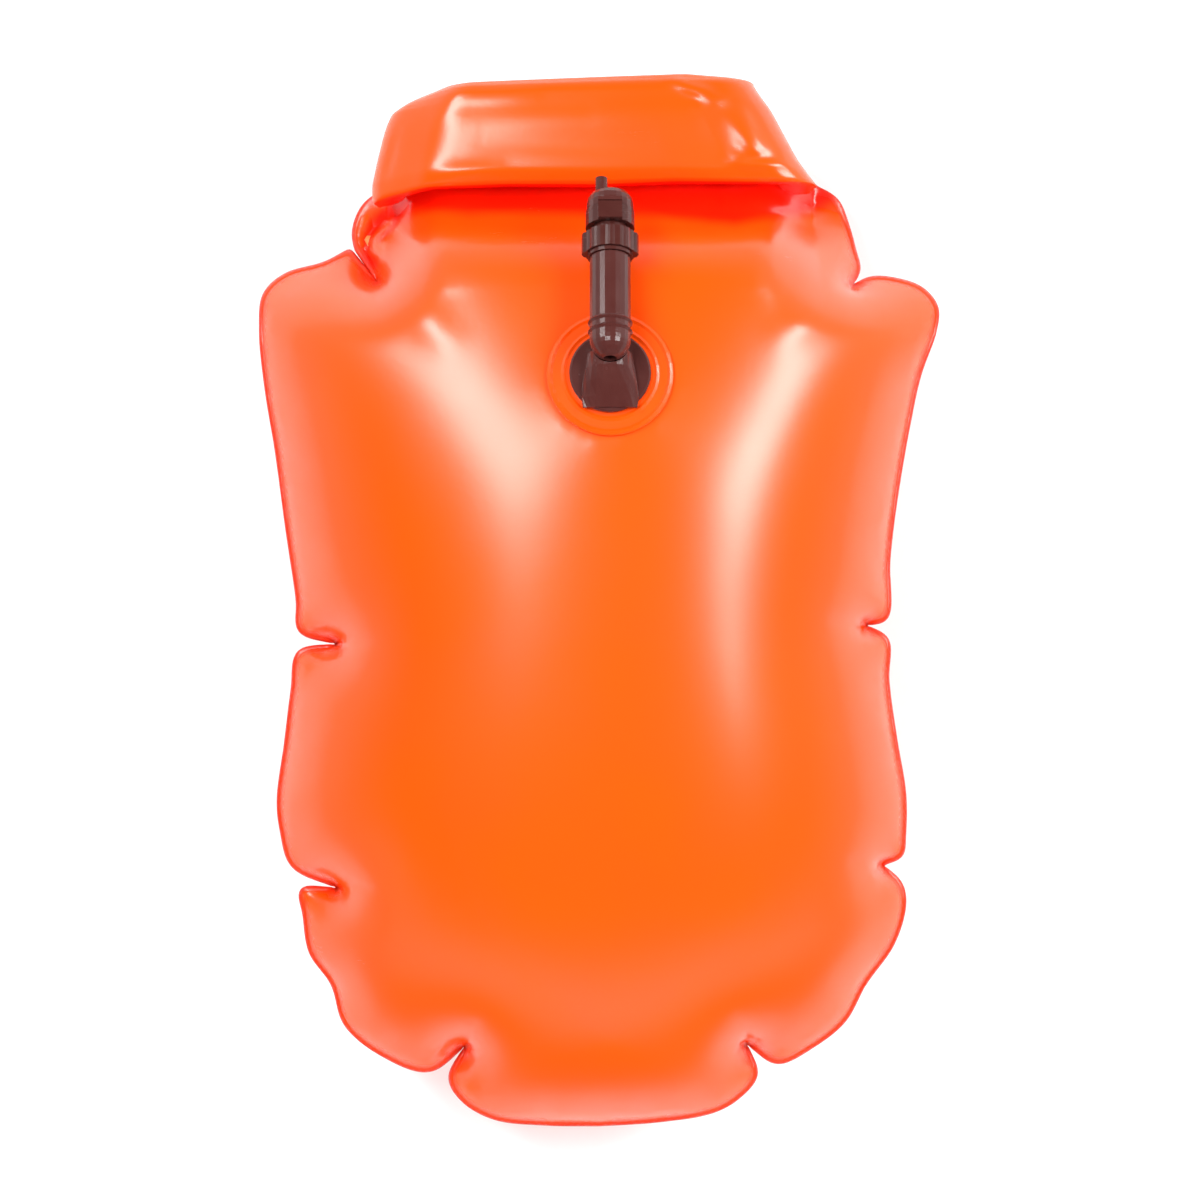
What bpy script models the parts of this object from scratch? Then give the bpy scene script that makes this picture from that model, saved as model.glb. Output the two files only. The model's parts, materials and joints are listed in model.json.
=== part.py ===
"""Open water swim buoy: an inflated roll-top bag that lies on its back.

Metres. +Z up from the surface it rests on, +Y towards the rolled mouth, X across the bag.
The origin is the middle of the bag's footprint, on the surface.
"""

import math

import bmesh
import bpy
import numpy
from mathutils import Matrix, Vector
from mathutils.geometry import delaunay_2d_cdt

# Overall sizes of the inflated bag
BAG_HALF_WIDTH = 0.150
BAG_HALF_LENGTH = 0.231
WELD_HEIGHT = 0.062
FRONT_RISE = 0.068
REAR_DROP = 0.068
WELD_ANGLE = math.radians(68)
PRESS_REACH = 0.050

# Coated film and its welds
FILM = 0.0005
WELD_WIDTH = 0.004
LINER_RISE = 0.0012

# Clearances between separate pieces, and how far cutters run past what they cut
GAP = 0.0003
RUNNING_GAP = 0.0004
OVERRUN = 0.004

# Height of the neck where the film runs on into the roll
NECK_TOP_SHARE = 0.782

# Outline of the welded edge seen from the front, clockwise from the neck's right corner.
# Each point is a share of the half width and of the half length. The sharp steps are the
# tucks where the flat weld buckles when the bag is blown up.
OUTLINE_SHARES = (
    (0.530, 0.757), (0.620, 0.750), (0.700, 0.738), (0.740, 0.710), (0.760, 0.680), (0.779, 0.640),
    (0.745, 0.606), (0.824, 0.619), (0.926, 0.608), (0.992, 0.564), (0.985, 0.514),
    (0.941, 0.429), (0.897, 0.305), (0.862, 0.162), (0.847, 0.038), (0.835, -0.023),
    (0.778, -0.048), (0.841, -0.076), (0.847, -0.164), (0.871, -0.263), (0.897, -0.362),
    (0.888, -0.438), (0.865, -0.488), (0.818, -0.505), (0.888, -0.528), (0.894, -0.581),
    (0.862, -0.657), (0.782, -0.718), (0.765, -0.768), (0.691, -0.819), (0.588, -0.863),
    (0.494, -0.880), (0.432, -0.842), (0.465, -0.902), (0.406, -0.949), (0.294, -0.981),
    (0.147, -0.994), (0.000, -1.000), (-0.153, -0.998), (-0.294, -0.988),
    (-0.388, -0.962), (-0.435, -0.914), (-0.400, -0.858), (-0.471, -0.901),
    (-0.574, -0.888), (-0.691, -0.844), (-0.771, -0.785), (-0.791, -0.724),
    (-0.847, -0.676), (-0.871, -0.619), (-0.859, -0.577), (-0.776, -0.549),
    (-0.882, -0.533), (-0.926, -0.476), (-0.944, -0.381), (-0.926, -0.276),
    (-0.906, -0.190), (-0.888, -0.118), (-0.778, -0.084), (-0.876, -0.050),
    (-0.894, 0.038), (-0.926, 0.162), (-0.956, 0.305), (-0.982, 0.429), (-1.000, 0.533),
    (-0.991, 0.594), (-0.935, 0.632), (-0.809, 0.659), (-0.745, 0.668), (-0.659, 0.642),
    (-0.722, 0.705), (-0.690, 0.738), (-0.620, 0.750), (-0.530, 0.757), (-0.460, NECK_TOP_SHARE),
    (-0.220, NECK_TOP_SHARE), (0.000, NECK_TOP_SHARE), (0.220, NECK_TOP_SHARE), (0.460, NECK_TOP_SHARE),
)
OUTLINE_SMOOTH_ROUNDS = 10
TUCK_REACH_SHARE = 0.34
RING_SHARES = (0.05, 0.11, 0.18, 0.26, 0.36)
CROWN_SHARES = (0.50, 0.66, 0.82)
LEAST_PULL = 0.02
SPINE_TOP_SHARE = 0.25
SPINE_BOTTOM_SHARE = -0.56
SPINE_STEPS = 6
SEAT_POINTS = 20

# The neck, whose sides are drawn back with the ends of the roll
NECK_STRAIGHT_HALF = 0.064
NECK_BEND_RADIUS = 0.014
NECK_BEND_ANGLE = math.radians(52)
NECK_DROP_MOST = 0.032
NECK_DROP_START_SHARE = 0.48
NECK_DROP_END_SHARE = 0.76

# The rolled mouth: a flattened spiral that follows a C-shaped path
ROLL_FILM = 0.0010
ROLL_HALF_HEIGHT = 0.0275
ROLL_HALF_THICKNESS = 0.0105
ROLL_CORE_HALF_HEIGHT = 0.0205
ROLL_TURNS = 2.75
ROLL_START_TURN_SHARE = 0.17
ROLL_ROUNDNESS = 0.62
ROLL_CORE_ROUNDNESS = 0.4
ROLL_POINTS_PER_TURN = 12
ROLL_STRAIGHT_HALF = 0.066
ROLL_BEND_RADIUS = 0.024
ROLL_BEND_ANGLE = math.radians(95)
ROLL_BEND_STEPS = 5
ROLL_TAIL = 0.008
ROLL_SEAT_LIFT = 0.0030

# The roll's ends fold back along slanting lines, the right one further in
FOLD_RIGHT_IN = 0.0208
FOLD_RIGHT_SLOPE = 0.658
FOLD_LEFT_IN = 0.0053
FOLD_LEFT_SLOPE = 0.32

# Stiffening strips in the core of the roll
STIFFENER_HALF_HEIGHT = 0.0150
STIFFENER_THICKNESS = 0.0008
STIFFENER_END_INSET = 0.002

# Webbing, from the roll's ends to the buckle
WEBBING_WIDTH = 0.020
WEBBING_THICKNESS = 0.0014
WEBBING_HIDDEN_LENGTH = 0.018
WEBBING_HIDDEN_POINTS = 3
WEBBING_PACK_GAP = 0.00055
WEBBING_BEND_RADIUS = 0.009
WEBBING_BEND_STEPS = 5
WEBBING_RETURN_LENGTH = 0.014
WEBBING_CORNER_SHARE = 0.4

# Side-release buckle
BUCKLE_HALF_WIDTH = 0.0127
BUCKLE_HALF_THICKNESS = 0.0045
BUCKLE_WALL = 0.0018
BUCKLE_EDGE = 0.0012
FEMALE_LENGTH = 0.030
FEMALE_MOUTH = 0.008
FEMALE_CAVITY_LENGTH = 0.020
WINDOW_LENGTH = 0.0095
WINDOW_FROM_MOUTH = 0.0068
BAR_WIDTH = 0.0026
BAR_SLOT_LENGTH = 0.0044
MALE_BASE_LENGTH = 0.0105
GUIDE_HALF_WIDTH = 0.0016
GUIDE_LENGTH = 0.017
PRONG_ROOT_RADIUS = 0.0014
PRONG_ROOT_OFFSET = 0.0078
PRONG_HALF_WIDTH = 0.0010
PRONG_HEAD_LENGTH = 0.0080
PRONG_HEAD_REACH = 0.0004

# D-ring that the tow leash clips to
RING_WIRE_RADIUS = 0.0015
RING_HALF_WIDTH = 0.0122
RING_DEPTH = 0.0170
RING_ARC_STEPS = 14
RING_FROM_BUCKLE = 0.028

# Inflation valve: welded flange and boot
VALVE_X = 0.0042
VALVE_BELOW_NECK = 0.08664
VALVE_Y = NECK_TOP_SHARE * BAG_HALF_LENGTH - VALVE_BELOW_NECK
VALVE_TILT = math.radians(11)
VALVE_SINK = 0.0055
VALVE_FLAT_RADIUS = 0.029
SEAT_MARGIN = 1.25
FLANGE_RADIUS = 0.0265
FLANGE_THICKNESS = 0.0010
FLANGE_BEAD_RADIUS = 0.0011
FLANGE_BEAD_RISE = 0.0006
FLANGE_INNER_BEAD = 0.0195
FLANGE_OUTER_BEAD = 0.0250
AIR_HOLE_RADIUS = 0.0042
BOOT_RADIUS = 0.0170
BOOT_DISC = 0.0026
BOOT_EDGE = 0.0008
BOOT_SPIGOT_LENGTH = 0.0022
BOOT_BORE_RADIUS = 0.0026
FAN_POINTS = 12
FAN_ROOT_DEPTH = 0.0012
# Sections of the boot's fan: place along the tube, half width and height over the disc,
# as shares of the boot's radius
FAN_SHARES = (
    (-0.90, 0.66, 0.05), (-0.66, 0.70, 0.20), (-0.30, 0.68, 0.40), (0.04, 0.62, 0.58),
    (0.40, 0.56, 0.70),
)

# Inflation valve: tube, measured along its own axis from the centre of its ball
TUBE_RADIUS = 0.0085
TUBE_LENGTH = 0.037
TUBE_BORE_RADIUS = 0.0056
TUBE_TILT = math.radians(8)
TUBE_BALL_FORWARD = 0.010
TUBE_BALL_LIFT = 0.0032
TUBE_THROAT_RADIUS = 0.0028
TUBE_BEAD_RISE = 0.0008
TUBE_BEAD_HALF_WIDTH = 0.0010
TUBE_BEADS = (0.0035, 0.0075)
TURN_STEPS = 24

# Inflation valve: head
SPIGOT_LENGTH = 0.011
SPIGOT_RADIUS = 0.0065
SPIGOT_BORE_RADIUS = 0.0036
COLLAR_RADIUS = 0.0094
COLLAR_THICKNESS = 0.0014
LEDGE_THICKNESS = 0.0016
LEDGE_BORE_RADIUS = 0.0024
BARREL_RADIUS = 0.0076
BARREL_BORE_RADIUS = 0.0050
RING_RADIUS = 0.0101
RING_RIB_RISE = 0.0005
RING_RIBS = 16
RING_HEIGHT = 0.0090
LUG_REACH = 0.0013
LUG_HALF_ANGLE = math.radians(16)
PRESS_TRAVEL = 0.0025
MOUTH_SKIRT_RADIUS = 0.0103
MOUTH_SKIRT_HEIGHT = 0.0075
MOUTH_NOZZLE_RADIUS = 0.0058
MOUTH_NOZZLE_HEIGHT = 0.0037
MOUTH_ROOF = 0.0018
MOUTH_BORE_RADIUS = 0.0032
MOUTH_HUB_RADIUS = 0.0024
MOUTH_SPOKE_HALF_WIDTH = 0.0007
MOUTH_SPOKE_THICKNESS = 0.0014
TONGUE_HALF_WIDTH = 0.0050
TONGUE_THICKNESS = 0.0011
TONGUE_LENGTH = 0.0075
STEM_RADIUS = 0.0012
POPPET_RADIUS = 0.0048
POPPET_THICKNESS = 0.0016
SEAL_THICKNESS = 0.0009
SEAL_HOLE_RADIUS = 0.0016
SPRING_RADIUS = 0.0040
SPRING_WIRE_RADIUS = 0.0003
SPRING_TURNS = 4
SPRING_POINTS_PER_TURN = 8
CAP_RADIUS = 0.0099
CAP_HEIGHT = 0.0092
CAP_ROUND_STEPS = 4
CAP_CROWN_RADIUS = 0.0036
CAP_SHOULDER_SHARE = 0.35
CAP_BORE_RADIUS = 0.0076
CAP_BORE_DEPTH = 0.0046
CAP_NUB_RADIUS = 0.0026
CAP_NUB_HEIGHT = 0.0065
CAP_NUB_OFFSET = 0.0036
CAP_TAB_THICKNESS = 0.0016

ORANGE = (1.0, 0.17, 0.015)
ORANGE_INNER = (1.0, 0.24, 0.06)
BLACK_RUBBER = (0.035, 0.028, 0.028)
BLACK_PLASTIC = (0.028, 0.026, 0.027)
STEEL = (0.62, 0.62, 0.63)


def material(name, colour, roughness, metallic=0.0):
    made = bpy.data.materials.new(name)
    made.use_nodes = True
    shader = made.node_tree.nodes["Principled BSDF"]
    shader.inputs["Base Color"].default_value = (*colour, 1.0)
    shader.inputs["Roughness"].default_value = roughness
    shader.inputs["Metallic"].default_value = metallic
    made.diffuse_color = (*colour, 1.0)
    return made


def clear_scene():
    for obj in list(bpy.data.objects):
        bpy.data.objects.remove(obj)


def add_object(name, data, home, parent=None, finish=None):
    obj = bpy.data.objects.new(name, data)
    home.objects.link(obj)
    obj.parent = parent
    if finish:
        data.materials.append(finish)
    return obj


def mesh_from(shape, name):
    """Turns a finished bmesh into a mesh, with its normals outwards."""
    bmesh.ops.recalc_face_normals(shape, faces=shape.faces)
    mesh = bpy.data.meshes.new(name)
    shape.to_mesh(mesh)
    shape.free()
    mesh.shade_smooth()
    mesh.set_sharp_from_angle(angle=math.radians(35))
    return mesh


def empty_at(name, home, matrix, parent=None):
    empty = bpy.data.objects.new(name, None)
    home.objects.link(empty)
    empty.parent = parent
    empty.matrix_local = matrix
    return empty


def solidify(obj, thickness, offset):
    modifier = obj.modifiers.new("wall", "SOLIDIFY")
    modifier.thickness = thickness
    modifier.offset = offset


def boolean(obj, cutter, operation="DIFFERENCE"):
    cutter.hide_render = True
    cutter.display_type = "WIRE"
    modifier = obj.modifiers.new(operation.lower(), "BOOLEAN")
    modifier.operation = operation
    modifier.solver = "EXACT"
    modifier.object = cutter


def bevel(obj, width, segments=1):
    modifier = obj.modifiers.new("edge", "BEVEL")
    modifier.width = width
    modifier.segments = segments
    modifier.limit_method = "ANGLE"


def box_mesh(name, low, high):
    """A box between two corners."""
    low, high = Vector(low), Vector(high)
    shape = bmesh.new()
    size = high - low
    bmesh.ops.create_cube(
        shape, size=1, matrix=Matrix.Translation((low + high) / 2) @ Matrix.Diagonal((*size, 1))
    )
    return mesh_from(shape, name)


def rod_mesh(name, start, end, radius, steps=16):
    """A cylinder between two points."""
    start, end = Vector(start), Vector(end)
    along = end - start
    shape = bmesh.new()
    turn = along.to_track_quat("Z", "Y").to_matrix().to_4x4()
    bmesh.ops.create_cone(
        shape,
        cap_ends=True,
        segments=steps,
        radius1=radius,
        radius2=radius,
        depth=along.length,
        matrix=Matrix.Translation((start + end) / 2) @ turn,
    )
    return mesh_from(shape, name)


def turned(name, profile, home, parent, finish, steps=TURN_STEPS):
    """A profile of (radius, height) that runs down its outer side, spun round local Z."""
    shape = bmesh.new()
    points = [shape.verts.new((radius, 0, height)) for radius, height in profile]
    pairs = list(zip(points, points[1:]))
    if profile[0][0] > 0:
        pairs.append((points[-1], points[0]))
    for pair in pairs:
        shape.edges.new(pair)
    mesh = bpy.data.meshes.new(name)
    shape.to_mesh(mesh)
    shape.free()
    obj = add_object(name, mesh, home, parent, finish)
    modifier = obj.modifiers.new("turn", "SCREW")
    modifier.axis = "Z"
    modifier.steps = steps
    modifier.render_steps = steps
    modifier.use_merge_vertices = True
    modifier.merge_threshold = 0.00001
    return obj


def arc(centre_radius, centre_height, radius, start, end, steps):
    """Profile points on an arc, with angles from the outward radius up, in radians."""
    angles = [start + (end - start) * step / steps for step in range(steps + 1)]
    return [
        (centre_radius + radius * math.cos(angle), centre_height + radius * math.sin(angle))
        for angle in angles
    ]


def smoothstep(value):
    value = min(max(value, 0.0), 1.0)
    return value * value * (3 - 2 * value)


def loft(rows, closed_across=False, closed_along=False):
    """A bmesh of quads between rows of points."""
    shape = bmesh.new()
    verts = [[shape.verts.new(point) for point in row] for row in rows]
    if closed_along:
        verts.append(verts[0])
    for lower, upper in zip(verts, verts[1:]):
        count = len(lower)
        for i in range(count if closed_across else count - 1):
            j = (i + 1) % count
            shape.faces.new((lower[i], lower[j], upper[j], upper[i]))
    return shape, verts


# Bag panels


def neck_drop(x, y):
    """How far the weld plane is drawn back at the sides of the neck."""
    start, end = NECK_DROP_START_SHARE * BAG_HALF_LENGTH, NECK_DROP_END_SHARE * BAG_HALF_LENGTH
    aside = max(abs(x) - NECK_STRAIGHT_HALF, 0)
    curved = NECK_BEND_RADIUS * math.sin(NECK_BEND_ANGLE)
    if aside < curved:
        drop = NECK_BEND_RADIUS - math.sqrt(NECK_BEND_RADIUS**2 - aside**2)
    else:
        drop = NECK_BEND_RADIUS * (1 - math.cos(NECK_BEND_ANGLE))
        drop += (aside - curved) * math.tan(NECK_BEND_ANGLE)
    return min(drop, NECK_DROP_MOST) * smoothstep((y - start) / (end - start))


def spread(x, y):
    """Upright distance between sloping layers, for each unit of distance square to them."""
    across = neck_drop(abs(x) + FILM, y) - neck_drop(abs(x) - FILM, y)
    along = neck_drop(x, y + FILM) - neck_drop(x, y - FILM)
    return math.hypot(1, across / (2 * FILM), along / (2 * FILM))


def outline():
    return [Vector((x * BAG_HALF_WIDTH, y * BAG_HALF_LENGTH)) for x, y in OUTLINE_SHARES]


def smooth_outline(points):
    for _ in range(OUTLINE_SMOOTH_ROUNDS):
        after = points[1:] + points[:1]
        before = points[-1:] + points[:-1]
        points = [(a + 2 * p + b) / 4 for a, p, b in zip(before, points, after)]
    return points


def spine_point(point):
    top, bottom = SPINE_TOP_SHARE * BAG_HALF_LENGTH, SPINE_BOTTOM_SHARE * BAG_HALF_LENGTH
    return Vector((0, min(max(point.y, bottom), top)))


def ring_at(edge, calm, share):
    """A loop of points that lies part of the way from the edge to the panel's spine."""
    fade = max(0.0, 1 - share / TUCK_REACH_SHARE) ** 2
    return [
        (soft + (sharp - soft) * fade).lerp(spine_point(soft), share)
        for sharp, soft in zip(edge, calm)
    ]


def weld_rings(edge):
    """Both borders of the flat weld."""
    return [edge, [p + (spine_point(p) - p).normalized() * WELD_WIDTH for p in edge]]


def valve_plane(y):
    """Height of the flat seat that the valve's flange presses into the front panel."""
    seat = WELD_HEIGHT + skin_offset() + FRONT_RISE - VALVE_SINK
    return seat - (y - VALVE_Y) * math.tan(VALVE_TILT)


def skin_offset():
    """From the middle of the weld to the inner face of an outer panel."""
    return GAP / 2 + FILM + GAP


def front_height(x, y, share):
    return WELD_HEIGHT - neck_drop(x, y) + skin_offset() * spread(x, y) + FRONT_RISE * share


def rear_height(x, y, share):
    height = WELD_HEIGHT - neck_drop(x, y) - skin_offset() * spread(x, y) - REAR_DROP * share
    return max(height, FILM)


def front_liner_height(x, y, share):
    return WELD_HEIGHT - neck_drop(x, y) + GAP / 2 * spread(x, y) + LINER_RISE * share


def rear_liner_height(x, y, share):
    return WELD_HEIGHT - neck_drop(x, y) - GAP / 2 * spread(x, y) - LINER_RISE * share


def seat_points():
    """Points on the valve's seat, the outermost first."""
    made = []
    for radius, count in ((VALVE_FLAT_RADIUS, SEAT_POINTS), (VALVE_FLAT_RADIUS / 2, SEAT_POINTS // 2)):
        for step in range(count):
            angle = 2 * math.pi * (step + 0.5) / count
            place = (VALVE_X + radius * math.cos(angle), VALVE_Y + radius * math.sin(angle))
            made.append(Vector(place))
    return made


def spine_points():
    top, bottom = SPINE_TOP_SHARE * BAG_HALF_LENGTH, SPINE_BOTTOM_SHARE * BAG_HALF_LENGTH
    heights = [bottom + (top - bottom) * step / SPINE_STEPS for step in range(SPINE_STEPS + 1)]
    return [Vector((0, y)) for y in heights]


def clear_of_seat(points):
    centre = Vector((VALVE_X, VALVE_Y))
    return [point for point in points if (point - centre).length > VALVE_FLAT_RADIUS * SEAT_MARGIN]


def crown_faces(ring, free):
    """Triangulates the inside of a ring, round the free points laid within it."""
    count = len(ring)
    loop = [(i, (i + 1) % count) for i in range(count)]
    made = delaunay_2d_cdt(ring + free, loop, [list(range(count))], 1, 0.00001)
    return [[made[3][i][0] for i in face] for face in made[2] if all(made[3][i] for i in face)]


def film_mesh(rings, free):
    """Points and triangles of a panel seen from the front, its welded edge first."""
    count = len(rings[0])
    faces = []
    for row in range(len(rings) - 1):
        for i in range(count):
            a, b = row * count + i, row * count + (i + 1) % count
            faces += [(a, b, b + count), (a, b + count, a + count)]
    last = (len(rings) - 1) * count
    faces += [[last + i for i in corners] for corners in crown_faces(rings[-1], free)]
    return sum(rings, []) + free, faces


def film_pull(points, faces):
    """How strongly each two points of a film pull on each other, and the area round each."""
    pull, area = numpy.zeros((len(points), len(points))), numpy.zeros(len(points))
    for corners in faces:
        for turn in range(3):
            i, j, k = corners[turn], corners[turn - 1], corners[turn - 2]
            to_i, to_j = points[i] - points[k], points[j] - points[k]
            twice = abs(to_i.cross(to_j))
            weight = max(to_i.dot(to_j) / twice, LEAST_PULL) / 2
            pull[[i, j], [j, i]] -= weight
            pull[[i, j], [i, j]] += weight
            area[k] += twice / 6
    return pull, area


def settled(pull, load, held, given):
    """Where a film comes to rest under a load, when some of its points are held."""
    free = [i for i in range(len(load)) if i not in set(held)]
    rest = numpy.zeros(len(load))
    rest[held] = given
    load = load[free] - pull[numpy.ix_(free, held)] @ rest[held]
    rest[free] = numpy.linalg.solve(pull[numpy.ix_(free, free)], load)
    return rest


def pressed_shares(points, faces, held):
    """Height share of each point of a blown-up film: 0 where it is welded, 1 at its top."""
    pull, area = film_pull(points, faces)
    pressed = settled(pull + numpy.diag(area / PRESS_REACH**2), area, held, 0)
    steep = 1 / math.tan(WELD_ANGLE)
    rise = numpy.sqrt(pressed / pressed.max() + steep**2) - steep
    return rise / rise.max()


def drawn_to_seat(points, faces, heights, held, seat):
    """Heights of the film once the valve's stiff flange holds it flat at the seat."""
    pull, area = film_pull(points, faces)
    given = [0 for _ in held] + [valve_plane(points[i].y) - heights[i] for i in seat]
    return heights + settled(pull, 0 * area, held + seat, given)


def panel(name, height_of, rings, free, home, finish, seat_count=0, faces_down=False):
    points, faces = film_mesh(rings, free)
    held = list(range(2 * len(rings[0])))
    shares = pressed_shares(points, faces, held)
    heights = numpy.array([height_of(p.x, p.y, share) for p, share in zip(points, shares)])
    if seat_count:
        seat = list(range(len(points) - seat_count, len(points)))
        heights = drawn_to_seat(points, faces, heights, held, seat)
    shape = bmesh.new()
    verts = [shape.verts.new((p.x, p.y, height)) for p, height in zip(points, heights)]
    for corners in faces:
        shape.faces.new([verts[i] for i in corners])
    bmesh.ops.recalc_face_normals(shape, faces=shape.faces)
    shape.normal_update()
    pointing_up = sum(face.normal.z * face.calc_area() for face in shape.faces) > 0
    if pointing_up == faces_down:
        bmesh.ops.reverse_faces(shape, faces=shape.faces)
    mesh = bpy.data.meshes.new(name)
    shape.to_mesh(mesh)
    shape.free()
    mesh.shade_smooth()
    obj = add_object(name, mesh, home, None, finish)
    solidify(obj, FILM, 1)
    return obj


def build_panels(home, cutters, orange, inner):
    edge = outline()
    calm = smooth_outline(edge)
    weld, spine, seat = weld_rings(edge), spine_points(), seat_points()
    rings = weld + [ring_at(edge, calm, share) for share in RING_SHARES]
    crown = []
    for turn, share in enumerate(CROWN_SHARES):
        crown += ring_at(edge, calm, share)[turn % 2::2]
    crown += spine
    front_free = clear_of_seat(crown) + seat
    front = panel("front_skin", front_height, rings, front_free, home, orange, len(seat))
    panel("rear_skin", rear_height, rings, crown, home, orange, faces_down=True)
    few = weld + rings[-1:]
    panel("liner_front", front_liner_height, few, spine, home, inner)
    panel("liner_rear", rear_liner_height, few, spine, home, inner, faces_down=True)
    hole = rod_mesh("air_hole", (0, 0, -OVERRUN), (0, 0, OVERRUN), AIR_HOLE_RADIUS, TURN_STEPS)
    cutter = add_object("air_hole", hole, cutters)
    cutter.matrix_world = valve_matrix()
    boolean(front, cutter)


# Rolled mouth


def roll_centre_height():
    return WELD_HEIGHT + ROLL_SEAT_LIFT + ROLL_HALF_THICKNESS


def roll_centre_y():
    return BAG_HALF_LENGTH - ROLL_HALF_HEIGHT


def roll_half_length():
    return ROLL_STRAIGHT_HALF + ROLL_BEND_RADIUS * ROLL_BEND_ANGLE + ROLL_TAIL


def roll_frame(along):
    """Point (x, z) on the roll's path and the outward normal there, by length from its middle."""
    side = 1 if along >= 0 else -1
    past = abs(along) - ROLL_STRAIGHT_HALF
    if past <= 0:
        return Vector((along, roll_centre_height())), Vector((0, 1))
    angle = min(past / ROLL_BEND_RADIUS, ROLL_BEND_ANGLE)
    tail = max(past - ROLL_BEND_RADIUS * ROLL_BEND_ANGLE, 0)
    x = ROLL_STRAIGHT_HALF + ROLL_BEND_RADIUS * math.sin(angle) + tail * math.cos(angle)
    z = roll_centre_height() - ROLL_BEND_RADIUS * (1 - math.cos(angle)) - tail * math.sin(angle)
    return Vector((side * x, z)), Vector((side * math.sin(angle), math.cos(angle)))


def roll_stations(half_length):
    bends = [
        ROLL_STRAIGHT_HALF + ROLL_BEND_RADIUS * ROLL_BEND_ANGLE * step / ROLL_BEND_STEPS
        for step in range(ROLL_BEND_STEPS + 1)
    ]
    half = [step for step in bends if step < half_length] + [half_length]
    return [-step for step in reversed(half)] + half


def fold_shift(side, across):
    """How far outwards a fold lies from the symmetric one, at a height across the roll."""
    if side > 0:
        return -FOLD_RIGHT_IN - FOLD_RIGHT_SLOPE * across
    return -FOLD_LEFT_IN - FOLD_LEFT_SLOPE * across


def on_roll(along, across, out):
    """A point by its length along the roll, its height across it and its distance outwards."""
    centre, normal = roll_frame(along)
    place = centre + normal * out
    side = 1 if along >= 0 else -1
    shift = fold_shift(side, across) * min(abs(along) / ROLL_STRAIGHT_HALF, 1)
    return Vector((place.x + side * shift, roll_centre_y() + across, place.y))


def core_half_thickness():
    """Middle of the innermost turn of film, clear of the strips and the webbing between them."""
    packed = WEBBING_THICKNESS / 2 + WEBBING_PACK_GAP + STIFFENER_THICKNESS
    return packed + GAP + ROLL_FILM / 2


def roll_section():
    """The spiral, as (across, out) from the tail at the neck's weld to the core."""
    rear = -ROLL_HALF_THICKNESS
    neck_top = NECK_TOP_SHARE * BAG_HALF_LENGTH
    seam = neck_top + GAP - roll_centre_y()
    points = [(seam, rear - ROLL_SEAT_LIFT), (seam / 2, rear - ROLL_SEAT_LIFT / 2)]
    count = round((ROLL_TURNS - ROLL_START_TURN_SHARE) * ROLL_POINTS_PER_TURN)
    for step in range(count + 1):
        turn = ROLL_START_TURN_SHARE + step / ROLL_POINTS_PER_TURN
        left = (ROLL_TURNS - turn) / (ROLL_TURNS - 0.5)
        height = ROLL_CORE_HALF_HEIGHT + (ROLL_HALF_HEIGHT - ROLL_CORE_HALF_HEIGHT) * left
        thick = core_half_thickness() + (ROLL_HALF_THICKNESS - core_half_thickness()) * left
        power = ROLL_CORE_ROUNDNESS + (ROLL_ROUNDNESS - ROLL_CORE_ROUNDNESS) * left
        cosine, sine = math.cos(2 * math.pi * turn), math.sin(2 * math.pi * turn)
        across = -height * math.copysign(abs(cosine) ** power, cosine)
        out = -thick * math.copysign(abs(sine) ** power, sine)
        points.append((across, out))
    return points


def build_roll(home, orange, strip):
    section = roll_section()
    rows = [
        [on_roll(along, across, out) for across, out in section]
        for along in roll_stations(roll_half_length())
    ]
    shape, _ = loft(rows)
    obj = add_object("roll_top", mesh_from(shape, "roll_top"), home, None, orange)
    solidify(obj, ROLL_FILM, 0)
    half_length = roll_half_length() - STIFFENER_END_INSET
    middle = WEBBING_THICKNESS / 2 + WEBBING_PACK_GAP + STIFFENER_THICKNESS / 2
    for name, out in (("stiffener_front", middle), ("stiffener_rear", -middle)):
        rows = [
            [on_roll(along, side * STIFFENER_HALF_HEIGHT, out) for side in (-1, 1)]
            for along in roll_stations(half_length)
        ]
        shape, _ = loft(rows)
        bar = add_object(name, mesh_from(shape, name), home, None, strip)
        solidify(bar, STIFFENER_THICKNESS, 0)


# Webbing and buckle, below the roll


def strap_height():
    """Height of the webbing's middle where it runs level behind the neck."""
    end, _ = roll_frame(roll_half_length())
    return end.y - WEBBING_BEND_RADIUS * (1 + math.cos(ROLL_BEND_ANGLE))


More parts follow.
